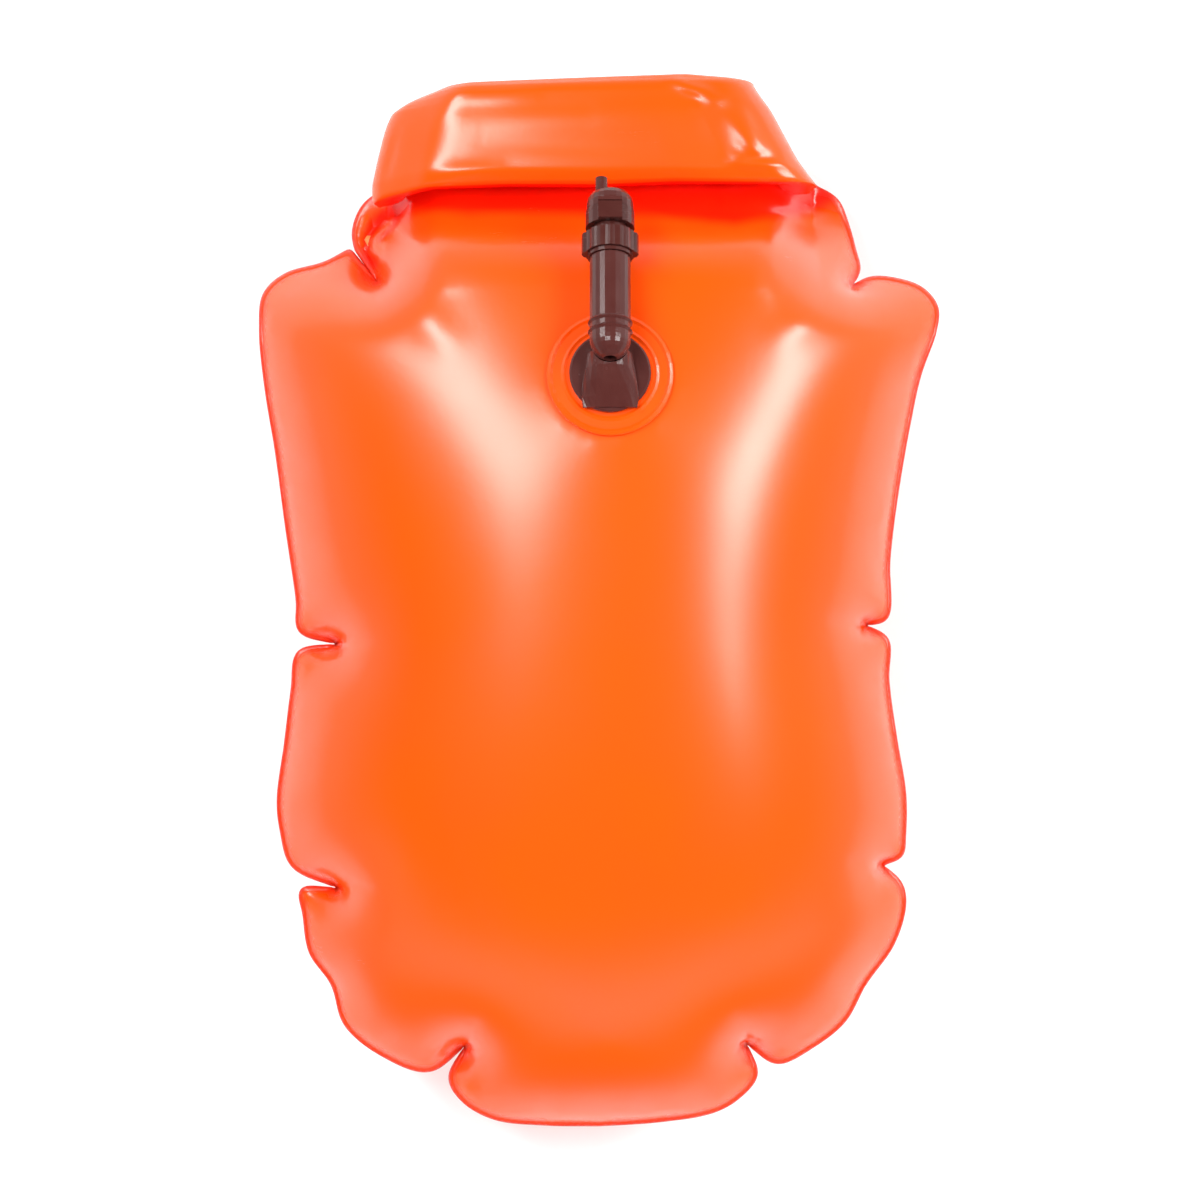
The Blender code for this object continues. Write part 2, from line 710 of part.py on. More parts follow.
def webbing_path(bar_x, holds_ring):
    """Points (x, z) on the right side: out of the core, round to level, in to the bar, and back."""
    half = roll_half_length()
    hidden_step = WEBBING_HIDDEN_LENGTH / (WEBBING_HIDDEN_POINTS - 1)
    hidden = [half - hidden_step * step for step in reversed(range(WEBBING_HIDDEN_POINTS))]
    points = [roll_frame(along)[0] for along in hidden]
    end, normal = roll_frame(half)
    centre = end - normal * WEBBING_BEND_RADIUS
    first = math.atan2(normal.y, normal.x)
    sweep = math.pi / 2 + first
    for step in range(1, WEBBING_BEND_STEPS + 1):
        angle = first - sweep * step / WEBBING_BEND_STEPS
        points.append(centre + WEBBING_BEND_RADIUS * Vector((math.cos(angle), math.sin(angle))))
    level = strap_height()
    clear = GAP + WEBBING_THICKNESS / 2
    wrap = BUCKLE_HALF_THICKNESS / 2 + clear
    near, corner = bar_x - BAR_WIDTH / 2 - clear, WEBBING_THICKNESS * WEBBING_CORNER_SHARE
    past = bar_x + BAR_WIDTH / 2 + WEBBING_THICKNESS
    points.append(Vector((past + 3 * wrap, level)))
    points.append(Vector((past, level - wrap)))
    points.append(Vector((near + corner, level - wrap)))
    points.append(Vector((near, level - wrap + corner)))
    points.append(Vector((near, level + wrap - corner)))
    points.append(Vector((near + corner, level + wrap)))
    points.append(Vector((past, level + wrap)))
    doubled = level + WEBBING_THICKNESS + GAP
    points.append(Vector((past + 3 * wrap, doubled)))
    if holds_ring:
        over = level + 2 * (clear + RING_WIRE_RADIUS)
        reach = RING_WIRE_RADIUS + WEBBING_THICKNESS
        middle = ring_place().x * -1
        points.append(Vector((middle - 2 * reach, doubled)))
        points.append(Vector((middle - reach / 2, over)))
        points.append(Vector((middle + reach / 2, over)))
        points.append(Vector((middle + 2 * reach, doubled)))
    last = points[-1]
    points.append(Vector((last.x + WEBBING_RETURN_LENGTH, last.y)))
    return points


def ring_place():
    """Middle of the D-ring's bar, held between the two layers of the left webbing."""
    x = -(FEMALE_LENGTH - FEMALE_MOUTH) - RING_FROM_BUCKLE
    z = strap_height() + WEBBING_THICKNESS / 2 + GAP + RING_WIRE_RADIUS
    return Vector((x, roll_centre_y(), z))


def build_webbing(home, fabric):
    half = WEBBING_WIDTH / 2
    male_bar = FEMALE_MOUTH + RUNNING_GAP + MALE_BASE_LENGTH - BAR_WIDTH / 2
    female_bar = FEMALE_LENGTH - FEMALE_MOUTH - BAR_WIDTH / 2
    for name, bar, side in (("webbing_right", male_bar, 1), ("webbing_left", female_bar, -1)):
        path = webbing_path(bar, side < 0)
        turned_in = WEBBING_HIDDEN_POINTS + WEBBING_BEND_STEPS
        rows = []
        for step, point in enumerate(path):
            row = []
            for across in (-half, half):
                shift = fold_shift(side, across) if step < turned_in else 0
                row.append((side * (point.x + shift), roll_centre_y() + across, point.y))
            rows.append(row)
        shape, _ = loft(rows)
        obj = add_object(name, mesh_from(shape, name), home, None, fabric)
        solidify(obj, WEBBING_THICKNESS, 0)


def build_buckle(home, cutters, frame, plastic):
    half, thick, wall = BUCKLE_HALF_WIDTH, BUCKLE_HALF_THICKNESS, BUCKLE_WALL
    back = FEMALE_MOUTH - FEMALE_LENGTH
    bar_thick = BUCKLE_HALF_THICKNESS / 2
    female = add_object(
        "buckle_female",
        box_mesh("buckle_female", (back, -half, -thick), (FEMALE_MOUTH, half, thick)),
        home, frame, plastic,
    )
    bevel(female, BUCKLE_EDGE, 2)
    window_start = FEMALE_MOUTH - WINDOW_FROM_MOUTH
    slot_start = back + BAR_WIDTH
    inner = half - wall
    cuts = {
        "female_cavity": (
            (FEMALE_MOUTH - FEMALE_CAVITY_LENGTH, -inner, wall - thick),
            (FEMALE_MOUTH + OVERRUN, inner, thick - wall),
        ),
        "female_windows": (
            (window_start - WINDOW_LENGTH, -half - OVERRUN, wall - thick),
            (window_start, half + OVERRUN, thick - wall),
        ),
        "female_slot": (
            (slot_start, -WEBBING_WIDTH / 2 - GAP, -thick - OVERRUN),
            (slot_start + BAR_SLOT_LENGTH, WEBBING_WIDTH / 2 + GAP, thick + OVERRUN),
        ),
        "female_bar_top": (
            (back - OVERRUN, -WEBBING_WIDTH / 2 - GAP, bar_thick),
            (slot_start + GAP, WEBBING_WIDTH / 2 + GAP, thick + OVERRUN),
        ),
        "female_bar_bottom": (
            (back - OVERRUN, -WEBBING_WIDTH / 2 - GAP, -thick - OVERRUN),
            (slot_start + GAP, WEBBING_WIDTH / 2 + GAP, -bar_thick),
        ),
    }
    for name, (low, high) in cuts.items():
        boolean(female, add_object(name, box_mesh(name, low, high), cutters, frame))

    base = FEMALE_MOUTH + RUNNING_GAP
    end = base + MALE_BASE_LENGTH
    male = add_object(
        "buckle_male",
        box_mesh("buckle_male", (base, -half, -thick), (end, half, thick)),
        home, frame, plastic,
    )
    bevel(male, BUCKLE_EDGE, 2)
    guide = box_mesh(
        "male_guide",
        (base - GUIDE_LENGTH, -GUIDE_HALF_WIDTH, wall + RUNNING_GAP - thick),
        (base + wall, GUIDE_HALF_WIDTH, thick - wall - RUNNING_GAP),
    )
    boolean(male, add_object("male_guide", guide, cutters, frame), "UNION")
    male_slot = end - BAR_WIDTH - BAR_SLOT_LENGTH
    cuts = {
        "male_slot": (
            (male_slot, -WEBBING_WIDTH / 2 - GAP, -thick - OVERRUN),
            (male_slot + BAR_SLOT_LENGTH, WEBBING_WIDTH / 2 + GAP, thick + OVERRUN),
        ),
        "male_bar_top": (
            (end - BAR_WIDTH - GAP, -WEBBING_WIDTH / 2 - GAP, bar_thick),
            (end + OVERRUN, WEBBING_WIDTH / 2 + GAP, thick + OVERRUN),
        ),
        "male_bar_bottom": (
            (end - BAR_WIDTH - GAP, -WEBBING_WIDTH / 2 - GAP, -thick - OVERRUN),
            (end + OVERRUN, WEBBING_WIDTH / 2 + GAP, -bar_thick),
        ),
    }
    for name, (low, high) in cuts.items():
        boolean(male, add_object(name, box_mesh(name, low, high), cutters, frame))
    build_prongs(home, cutters, frame, plastic, male, base)


def build_prongs(home, cutters, frame, plastic, male, base):
    """Two sprung arms, each on its own root. A root turns in a round pocket of the base."""
    depth = BUCKLE_HALF_THICKNESS - BUCKLE_WALL - RUNNING_GAP
    root_x = base + PRONG_ROOT_RADIUS + GAP
    head_front = FEMALE_MOUTH - WINDOW_FROM_MOUTH - RUNNING_GAP
    head_back = head_front - PRONG_HEAD_LENGTH
    outer = BUCKLE_HALF_WIDTH - PRONG_HEAD_REACH
    arm = PRONG_HALF_WIDTH
    outline_points = [
        (0, arm), (0, -arm), (head_back - root_x, -arm), (head_back - root_x - arm, arm),
        (head_back - root_x + PRONG_HEAD_LENGTH / 3, outer - PRONG_ROOT_OFFSET),
        (head_front - root_x, outer - PRONG_ROOT_OFFSET), (head_front - root_x, arm),
    ]
    pocket = PRONG_ROOT_RADIUS + RUNNING_GAP
    for name, side in (("prong_left", -1), ("prong_right", 1)):
        pivot = empty_at(
            name + "_pivot", home, Matrix.Translation((root_x, side * PRONG_ROOT_OFFSET, 0)), frame
        )
        shape = bmesh.new()
        lower = [shape.verts.new((x, side * y, -depth)) for x, y in outline_points]
        face = shape.faces.new(lower)
        up = bmesh.ops.extrude_face_region(shape, geom=[face])
        bmesh.ops.translate(
            shape,
            vec=(0, 0, 2 * depth),
            verts=[v for v in up["geom"] if isinstance(v, bmesh.types.BMVert)],
        )
        arm_obj = add_object(name, mesh_from(shape, name), home, pivot, plastic)
        root = rod_mesh(name + "_root", (0, 0, -depth), (0, 0, depth), PRONG_ROOT_RADIUS, 12)
        boolean(arm_obj, add_object(name + "_root", root, cutters, pivot), "UNION")
        tall = BUCKLE_HALF_THICKNESS - BUCKLE_WALL
        hole = rod_mesh(name + "_pocket", (0, 0, -tall), (0, 0, tall), pocket, 16)
        boolean(male, add_object(name + "_pocket", hole, cutters, pivot))
        mouth = box_mesh(name + "_mouth", (-pocket - OVERRUN, -pocket, -tall), (0, pocket, tall))
        boolean(male, add_object(name + "_mouth", mouth, cutters, pivot))


def build_d_ring(home, steel):
    """A D of round wire that hangs from the webbing by its straight bar."""
    half = RING_HALF_WIDTH
    straight = RING_DEPTH - half
    points = [(-half, 0), (half, 0), (half, -straight)]
    points += [
        (half * math.cos(angle), -straight - half * math.sin(angle))
        for angle in [math.pi * step / RING_ARC_STEPS for step in range(1, RING_ARC_STEPS)]
    ]
    points.append((-half, -straight))
    curve = bpy.data.curves.new("d_ring", "CURVE")
    curve.dimensions = "3D"
    curve.bevel_depth = RING_WIRE_RADIUS
    curve.bevel_resolution = 1
    spline = curve.splines.new("POLY")
    spline.points.add(len(points) - 1)
    for point, (y, height) in zip(spline.points, points):
        point.co = (0, y, height, 1)
    spline.use_cyclic_u = True
    ring = add_object("d_ring", curve, home, None, steel)
    ring.location = ring_place()


# Inflation valve


def valve_matrix():
    """Frame of the valve's seat: Z along the panel's normal, Y towards the mouth."""
    place = Matrix.Translation((VALVE_X, VALVE_Y, valve_plane(VALVE_Y) + FILM))
    return place @ Matrix.Rotation(-VALVE_TILT, 4, "X")


def boot_top():
    """Height of the boot disc's upper face over the seat."""
    return GAP + FLANGE_THICKNESS + GAP + BOOT_DISC


def ball_centre():
    return Vector((0, TUBE_BALL_FORWARD, boot_top() + TUBE_BALL_LIFT + TUBE_RADIUS))


def tube_matrix():
    """Frame of the tube in the seat's frame: Z along the tube, Y towards the panel."""
    along = Matrix.Rotation(-math.pi / 2 - TUBE_TILT, 4, "X")
    return Matrix.Translation(ball_centre()) @ along


def build_flange(home, seat, orange):
    top = GAP + FLANGE_THICKNESS
    profile = [(AIR_HOLE_RADIUS, top)]
    for centre in (FLANGE_INNER_BEAD, FLANGE_OUTER_BEAD):
        profile += [
            (centre - FLANGE_BEAD_RADIUS, top),
            (centre, top + FLANGE_BEAD_RISE),
            (centre + FLANGE_BEAD_RADIUS, top),
        ]
    profile += [(FLANGE_RADIUS, top - FLANGE_THICKNESS / 2), (FLANGE_RADIUS, GAP)]
    profile.append((AIR_HOLE_RADIUS, GAP))
    turned("valve_flange", profile, home, seat, orange, steps=36)


def build_boot(home, cutters, seat, rubber):
    low, top = GAP + FLANGE_THICKNESS + GAP, boot_top()
    spigot = AIR_HOLE_RADIUS - GAP
    profile = [
        (BOOT_BORE_RADIUS, top),
        (BOOT_RADIUS - BOOT_EDGE, top),
        (BOOT_RADIUS, top - BOOT_EDGE),
        (BOOT_RADIUS, low + BOOT_EDGE),
        (BOOT_RADIUS - BOOT_EDGE, low),
        (spigot, low),
        (spigot, -BOOT_SPIGOT_LENGTH),
        (BOOT_BORE_RADIUS, -BOOT_SPIGOT_LENGTH),
    ]
    boot = turned("valve_boot", profile, home, seat, rubber, steps=36)
    rows = []
    for place, half_width, height in FAN_SHARES:
        row = [
            (
                half_width * BOOT_RADIUS * math.cos(angle),
                place * BOOT_RADIUS,
                top + height * BOOT_RADIUS * math.sin(angle),
            )
            for angle in [math.pi * step / FAN_POINTS for step in range(FAN_POINTS + 1)]
        ]
        wide = half_width * BOOT_RADIUS
        row += [(-wide, place * BOOT_RADIUS, top - FAN_ROOT_DEPTH)]
        row += [(wide, place * BOOT_RADIUS, top - FAN_ROOT_DEPTH)]
        rows.append(row)
    shape, verts = loft(rows, closed_across=True)
    shape.faces.new(verts[0])
    shape.faces.new(verts[-1])
    fan = add_object("boot_fan", mesh_from(shape, "boot_fan"), cutters, seat)
    boolean(boot, fan, "UNION")
    centre = ball_centre()
    shape = bmesh.new()
    bmesh.ops.create_uvsphere(
        shape,
        u_segments=24,
        v_segments=14,
        radius=TUBE_RADIUS + RUNNING_GAP,
        matrix=Matrix.Translation(centre),
    )
    socket = add_object("boot_socket", mesh_from(shape, "boot_socket"), cutters, seat)
    boolean(boot, socket)
    bore_start = (0, 0, -BOOT_SPIGOT_LENGTH - OVERRUN)
    bore = rod_mesh("boot_bore", bore_start, (0, 0, top + BOOT_BORE_RADIUS), BOOT_BORE_RADIUS)
    boolean(boot, add_object("boot_bore", bore, cutters, seat))
    throat = rod_mesh("boot_throat", (0, 0, top), centre, TUBE_THROAT_RADIUS)
    boolean(boot, add_object("boot_throat", throat, cutters, seat))


def build_tube(home, tube, rubber):
    widened = TUBE_LENGTH - SPIGOT_LENGTH - GAP
    seat_bore = SPIGOT_RADIUS + GAP
    profile = [(seat_bore, TUBE_LENGTH), (TUBE_RADIUS, TUBE_LENGTH)]
    for centre in reversed(TUBE_BEADS):
        profile += [
            (TUBE_RADIUS, centre + TUBE_BEAD_HALF_WIDTH),
            (TUBE_RADIUS + TUBE_BEAD_RISE, centre),
            (TUBE_RADIUS, centre - TUBE_BEAD_HALF_WIDTH),
        ]
    last = -math.acos(TUBE_THROAT_RADIUS / TUBE_RADIUS)
    profile += arc(0, 0, TUBE_RADIUS, 0, last, 6)
    profile += [
        (TUBE_THROAT_RADIUS, 0),
        (TUBE_BORE_RADIUS, TUBE_BEADS[0]),
        (TUBE_BORE_RADIUS, widened),
        (seat_bore, widened + GAP),
    ]
    turned("valve_tube", profile, home, tube, rubber)


def head_heights():
    """Heights along the tube of the head's faces."""
    collar = TUBE_LENGTH + GAP
    ring_low = collar + COLLAR_THICKNESS + GAP
    ring_high = ring_low + RING_HEIGHT
    skirt_low = ring_high + GAP + PRESS_TRAVEL
    skirt_high = skirt_low + MOUTH_SKIRT_HEIGHT
    return collar, ring_low, ring_high, skirt_low, skirt_high


def build_housing(home, tube, plastic):
    collar, _, _, _, skirt_high = head_heights()
    low = collar - SPIGOT_LENGTH
    ledge = collar + COLLAR_THICKNESS
    top = skirt_high - MOUTH_ROOF - PRESS_TRAVEL - GAP
    profile = [
        (BARREL_BORE_RADIUS, top),
        (BARREL_RADIUS, top),
        (BARREL_RADIUS, ledge),
        (COLLAR_RADIUS, ledge),
        (COLLAR_RADIUS, collar),
        (SPIGOT_RADIUS, collar),
        (SPIGOT_RADIUS, low),
        (SPIGOT_BORE_RADIUS, low),
        (SPIGOT_BORE_RADIUS, ledge - LEDGE_THICKNESS),
        (LEDGE_BORE_RADIUS, ledge - LEDGE_THICKNESS),
        (LEDGE_BORE_RADIUS, ledge),
        (BARREL_BORE_RADIUS, ledge),
    ]
    turned("valve_housing", profile, home, tube, plastic)
    return low, ledge


def ribbed_ring_rows(low, high):
    """Points round the twist ring, with ribs for grip and a lug on each side."""
    count = RING_RIBS * 4
    rows = []
    inner = BARREL_RADIUS + RUNNING_GAP
    for step in range(count):
        angle = 2 * math.pi * step / count
        ridge = 0.5 + 0.5 * math.cos(RING_RIBS * angle)
        from_lug = min(abs(math.remainder(angle, math.pi)), math.pi)
        lug = LUG_REACH if from_lug < LUG_HALF_ANGLE else 0
        outer = RING_RADIUS + RING_RIB_RISE * ridge + lug
        cosine, sine = math.cos(angle), math.sin(angle)
        rows.append([
            (inner * cosine, inner * sine, low),
            (outer * cosine, outer * sine, low),
            (outer * cosine, outer * sine, high),
            (inner * cosine, inner * sine, high),
        ])
    return rows


def build_lock_ring(home, tube, plastic):
    _, low, high, _, _ = head_heights()
    shape, _ = loft(ribbed_ring_rows(low, high), closed_across=True, closed_along=True)
    add_object("lock_ring", mesh_from(shape, "lock_ring"), home, tube, plastic)


def build_mouthpiece(home, cutters, tube, plastic):
    _, _, _, low, high = head_heights()
    nozzle_top = high + MOUTH_NOZZLE_HEIGHT
    inner = BARREL_RADIUS + RUNNING_GAP
    roof = high - MOUTH_ROOF
    profile = [
        (MOUTH_BORE_RADIUS, nozzle_top),
        (MOUTH_NOZZLE_RADIUS, nozzle_top),
        (MOUTH_NOZZLE_RADIUS, high),
        (MOUTH_SKIRT_RADIUS, high),
        (MOUTH_SKIRT_RADIUS, low),
        (inner, low),
        (inner, roof),
        (MOUTH_BORE_RADIUS, roof),
    ]
    mouth = turned("mouthpiece", profile, home, tube, plastic)
    hub_top = nozzle_top - MOUTH_SPOKE_THICKNESS
    hub_low = hub_top - MOUTH_SPOKE_THICKNESS
    hub = rod_mesh("mouth_hub", (0, 0, hub_low), (0, 0, hub_top), MOUTH_HUB_RADIUS)
    boolean(mouth, add_object("mouth_hub", hub, cutters, tube), "UNION")
    reach = MOUTH_BORE_RADIUS + GAP
    for name, turn in (("mouth_spoke_a", 0), ("mouth_spoke_b", math.pi / 2)):
        spoke = box_mesh(
            name, (-reach, -MOUTH_SPOKE_HALF_WIDTH, hub_low), (reach, MOUTH_SPOKE_HALF_WIDTH, hub_top)
        )
        cutter = add_object(name, spoke, cutters, tube)
        cutter.matrix_local = Matrix.Rotation(turn, 4, "Z")
        boolean(mouth, cutter, "UNION")
    hole = rod_mesh(
        "stem_hole", (0, 0, hub_low - OVERRUN), (0, 0, hub_top + OVERRUN), STEM_RADIUS + GAP
    )
    boolean(mouth, add_object("stem_hole", hole, cutters, tube))
    front = -MOUTH_SKIRT_RADIUS
    tongue = box_mesh(
        "mouth_tongue",
        (-TONGUE_HALF_WIDTH, front - TONGUE_THICKNESS, high - TONGUE_LENGTH),
        (TONGUE_HALF_WIDTH, front + TONGUE_THICKNESS, high),
    )
    boolean(mouth, add_object("mouth_tongue", tongue, cutters, tube), "UNION")
    return roof, hub_top


def build_poppet(home, tube, plastic, rubber, spigot_low, hub_top):
    seal_top = spigot_low - GAP
    seal_low = seal_top - SEAL_THICKNESS
    disc_top = seal_low - GAP
    profile = [
        (0, hub_top),
        (STEM_RADIUS, hub_top),
        (STEM_RADIUS, disc_top),
        (POPPET_RADIUS, disc_top),
        (POPPET_RADIUS, disc_top - POPPET_THICKNESS),
        (0, disc_top - POPPET_THICKNESS),
    ]
    turned("poppet", profile, home, tube, plastic, steps=20)
    profile = [
        (SEAL_HOLE_RADIUS, seal_top),
        (POPPET_RADIUS, seal_top),
        (POPPET_RADIUS, seal_low),
        (SEAL_HOLE_RADIUS, seal_low),
    ]
    turned("poppet_seal", profile, home, tube, rubber, steps=20)


def build_spring(home, tube, steel, low, high):
    curve = bpy.data.curves.new("return_spring", "CURVE")
    curve.dimensions = "3D"
    curve.bevel_depth = SPRING_WIRE_RADIUS
    curve.bevel_resolution = 1
    curve.use_fill_caps = True
    start, end = low + GAP + SPRING_WIRE_RADIUS, high - GAP - SPRING_WIRE_RADIUS
    count = SPRING_TURNS * SPRING_POINTS_PER_TURN
    spline = curve.splines.new("POLY")
    spline.points.add(count)
    for step, point in enumerate(spline.points):
        angle = 2 * math.pi * step / SPRING_POINTS_PER_TURN
        height = start + (end - start) * step / count
        point.co = (SPRING_RADIUS * math.cos(angle), SPRING_RADIUS * math.sin(angle), height, 1)
    add_object("return_spring", curve, home, tube, steel)


def cap_hinge():
    """Hinge line of the dust cap in the tube's frame, at the outer corner of the tongue."""
    _, _, _, _, high = head_heights()
    return Vector((0, -MOUTH_SKIRT_RADIUS - TONGUE_THICKNESS - GAP, high + GAP))


def build_cap(home, cutters, tube, rubber):
    hinge = cap_hinge()
    pivot = empty_at("cap_pivot", home, Matrix.Translation(hinge), tube)
    axis = -hinge.y
    body = empty_at("cap_axis", home, Matrix.Translation((0, axis, 0)), pivot)
    top = CAP_HEIGHT
    profile = [(0, top), (CAP_CROWN_RADIUS, top)]
    shoulder = CAP_HEIGHT * CAP_SHOULDER_SHARE
    rise, reach = CAP_HEIGHT - shoulder, CAP_RADIUS - CAP_CROWN_RADIUS
    for step in range(1, CAP_ROUND_STEPS):
        lean = math.pi / 2 * step / CAP_ROUND_STEPS
        profile.append((CAP_CROWN_RADIUS + reach * math.sin(lean), shoulder + rise * math.cos(lean)))
    profile += [
        (CAP_RADIUS, shoulder),
        (CAP_RADIUS, 0),
        (CAP_BORE_RADIUS, 0),
        (CAP_BORE_RADIUS, CAP_BORE_DEPTH),
        (0, CAP_BORE_DEPTH),
    ]
    cap = turned("dust_cap", profile, home, body, rubber)
    nub = rod_mesh(
        "cap_nub",
        (-CAP_NUB_OFFSET, 0, CAP_BORE_DEPTH + GAP),
        (-CAP_NUB_OFFSET, 0, CAP_HEIGHT + CAP_NUB_HEIGHT),
        CAP_NUB_RADIUS,
    )
    boolean(cap, add_object("cap_nub", nub, cutters, body), "UNION")
    tab = box_mesh(
        "cap_tab",
        (-TONGUE_HALF_WIDTH, -axis, 0),
        (TONGUE_HALF_WIDTH, -CAP_BORE_RADIUS - GAP, CAP_TAB_THICKNESS),
    )
    boolean(cap, add_object("cap_tab", tab, cutters, body), "UNION")


def build_valve(home, cutters, orange, rubber, plastic, steel):
    seat = empty_at("valve_seat", home, valve_matrix())
    build_flange(home, seat, orange)
    build_boot(home, cutters, seat, rubber)
    tube = empty_at("tube_pivot", home, tube_matrix(), seat)
    build_tube(home, tube, rubber)
    low, ledge = build_housing(home, tube, plastic)
    build_lock_ring(home, tube, plastic)
    roof, hub_top = build_mouthpiece(home, cutters, tube, plastic)
    build_poppet(home, tube, plastic, rubber, low, hub_top)
    build_spring(home, tube, steel, ledge, roof)
    build_cap(home, cutters, tube, rubber)


def main():
    clear_scene()
    home = bpy.data.collections.new("swim_buoy")
    cutters = bpy.data.collections.new("cutters")
    bpy.context.scene.collection.children.link(home)
    bpy.context.scene.collection.children.link(cutters)
    orange = material("orange_film", ORANGE, 0.3)
    inner = material("liner_film", ORANGE_INNER, 0.4)
    rubber = material("black_rubber", BLACK_RUBBER, 0.35)
    plastic = material("black_plastic", BLACK_PLASTIC, 0.4)
    webbing = material("black_webbing", BLACK_PLASTIC, 0.85)
    steel = material("steel", STEEL, 0.3, 1.0)
    build_panels(home, cutters, orange, inner)
    build_roll(home, orange, plastic)
    build_webbing(home, webbing)
    place = Matrix.Translation((0, roll_centre_y(), strap_height()))
    build_buckle(home, cutters, empty_at("buckle_place", home, place), plastic)
    build_d_ring(home, steel)
    build_valve(home, cutters, orange, rubber, plastic, steel)


main()
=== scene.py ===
import json
import math

import bmesh
import bpy
import numpy as np
from mathutils import Matrix, Vector
from mathutils.geometry import delaunay_2d_cdt


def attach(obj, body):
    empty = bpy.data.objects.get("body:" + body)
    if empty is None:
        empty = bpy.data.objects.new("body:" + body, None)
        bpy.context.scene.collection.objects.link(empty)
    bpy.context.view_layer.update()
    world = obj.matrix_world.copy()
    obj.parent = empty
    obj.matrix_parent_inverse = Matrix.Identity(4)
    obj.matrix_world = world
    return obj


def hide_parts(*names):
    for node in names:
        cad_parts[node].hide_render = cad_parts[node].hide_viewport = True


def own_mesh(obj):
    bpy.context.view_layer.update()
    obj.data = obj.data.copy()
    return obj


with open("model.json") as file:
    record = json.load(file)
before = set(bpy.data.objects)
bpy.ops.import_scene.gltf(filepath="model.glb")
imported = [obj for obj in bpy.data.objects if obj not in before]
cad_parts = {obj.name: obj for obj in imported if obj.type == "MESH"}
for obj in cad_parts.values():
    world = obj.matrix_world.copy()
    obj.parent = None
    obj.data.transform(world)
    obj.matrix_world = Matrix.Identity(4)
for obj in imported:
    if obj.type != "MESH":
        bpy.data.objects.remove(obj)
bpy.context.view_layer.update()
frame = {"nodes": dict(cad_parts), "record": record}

# Sizes, in metres
BAG_HALF_WIDTH = 0.150
BAG_HALF_LENGTH = 0.231
WELD_HEIGHT = 0.062
FRONT_RISE = 0.068
REAR_DROP = 0.068
FILM = 0.0006
WELD_BAND = 0.0016

# Colours
ORANGE = (1.0, 0.080, 0.0015)
ORANGE_DEEP = (1.0, 0.068, 0.001)
# Painted shade: a darker red along the weld band at the edge
WELD_SHADE_ORANGE = (0.60, 0.014, 0.002)
# Painted shade: the saturated red put into the neck's folds and under the roll
PAINTED_SHADE_RED = (1.0, 0.012, 0.001)
LINER_ORANGE = (1.0, 0.24, 0.06)
LINER_ORANGE_DEEP = (0.93, 0.19, 0.04)
RUBBER_BLACK = (0.060, 0.014, 0.012)
RUBBER_WORN = (0.088, 0.026, 0.022)
PLASTIC_BLACK = (0.050, 0.011, 0.009)
PLASTIC_WORN = (0.076, 0.022, 0.018)
YARN_BLACK = (0.045, 0.043, 0.044)
# Painted shade between the webbing's yarns
YARN_SHADE = (0.006, 0.006, 0.006)
STEEL_BRIGHT = (0.66, 0.65, 0.64)
STEEL_DULL = (0.50, 0.49, 0.47)

# Straight down on the front of the bag: distance, and width of the frame, at the weld's height
CAMERA_DISTANCE = 1.2
FRAME_WIDTH = 0.528
SENSOR = 36.0

# Brightness of the studio: high up, and at the foot of the bag, each with its place
STUDIO_HIGH, STUDIO_HIGH_AT = 0.03, 0.60
STUDIO_FOOT, STUDIO_FOOT_AT = 0.15, -0.75
FLOOR_HALF_SIZE = 6
FLOOR_SQUARES = 8
FLOOR_UNDER = 0.0004
FLOOR_PAPER = (0.66, 0.66, 0.66)
FLOOR_GLOW = 0.28

LIGHT_DISTANCE = 1.4
LIGHT_WIDTH = 0.25
LIGHT_AIM = Vector((0, 0.05, 0.10))
# Name, its lower and upper end as turn and height in degrees, and its power
LIGHTS = (
    ("left_box", (135, 29), (166, 77), 20),
    ("right_box", (33, 23), (-4, 60), 19),
)
# A dim light at the foot that only fills the shade
FOOT_LIGHT = ("foot_box", (-150, 16), (-30, 16), 9)


# Camera, floor and light


def build_camera():
    """Looks straight down on the front of the bag, with its mouth at the top."""
    data = bpy.data.cameras.new("camera")
    data.sensor_width = SENSOR
    data.lens = SENSOR * CAMERA_DISTANCE / FRAME_WIDTH
    camera = bpy.data.objects.new("camera", data)
    bpy.context.collection.objects.link(camera)
    camera.location = (0, 0, WELD_HEIGHT + CAMERA_DISTANCE)
    bpy.context.scene.camera = camera


def towards(turn, lift):
    """Unit direction, from its turn round from +X and its height over the floor in degrees."""
    turn, lift = math.radians(turn), math.radians(lift)
    return Vector((
        math.cos(lift) * math.cos(turn), math.cos(lift) * math.sin(turn), math.sin(lift),
    ))


def softbox(name, low, high, power):
    """A long light whose ends lie in two directions from the bag."""
    ends = [LIGHT_AIM + towards(*end) * LIGHT_DISTANCE for end in (low, high)]
    place = (ends[0] + ends[1]) / 2
    data = bpy.data.lights.new(name, "AREA")
    data.shape = "RECTANGLE"
    data.size = LIGHT_WIDTH
    data.size_y = (ends[1] - ends[0]).length
    data.energy = power
    light = bpy.data.objects.new(name, data)
    bpy.context.collection.objects.link(light)
    back = (place - LIGHT_AIM).normalized()
    up = (ends[1] - ends[0]).normalized()
    across = up.cross(back)
    turned = Matrix((across, up, back)).transposed().to_4x4()
    light.matrix_world = Matrix.Translation(place) @ turned
    return light


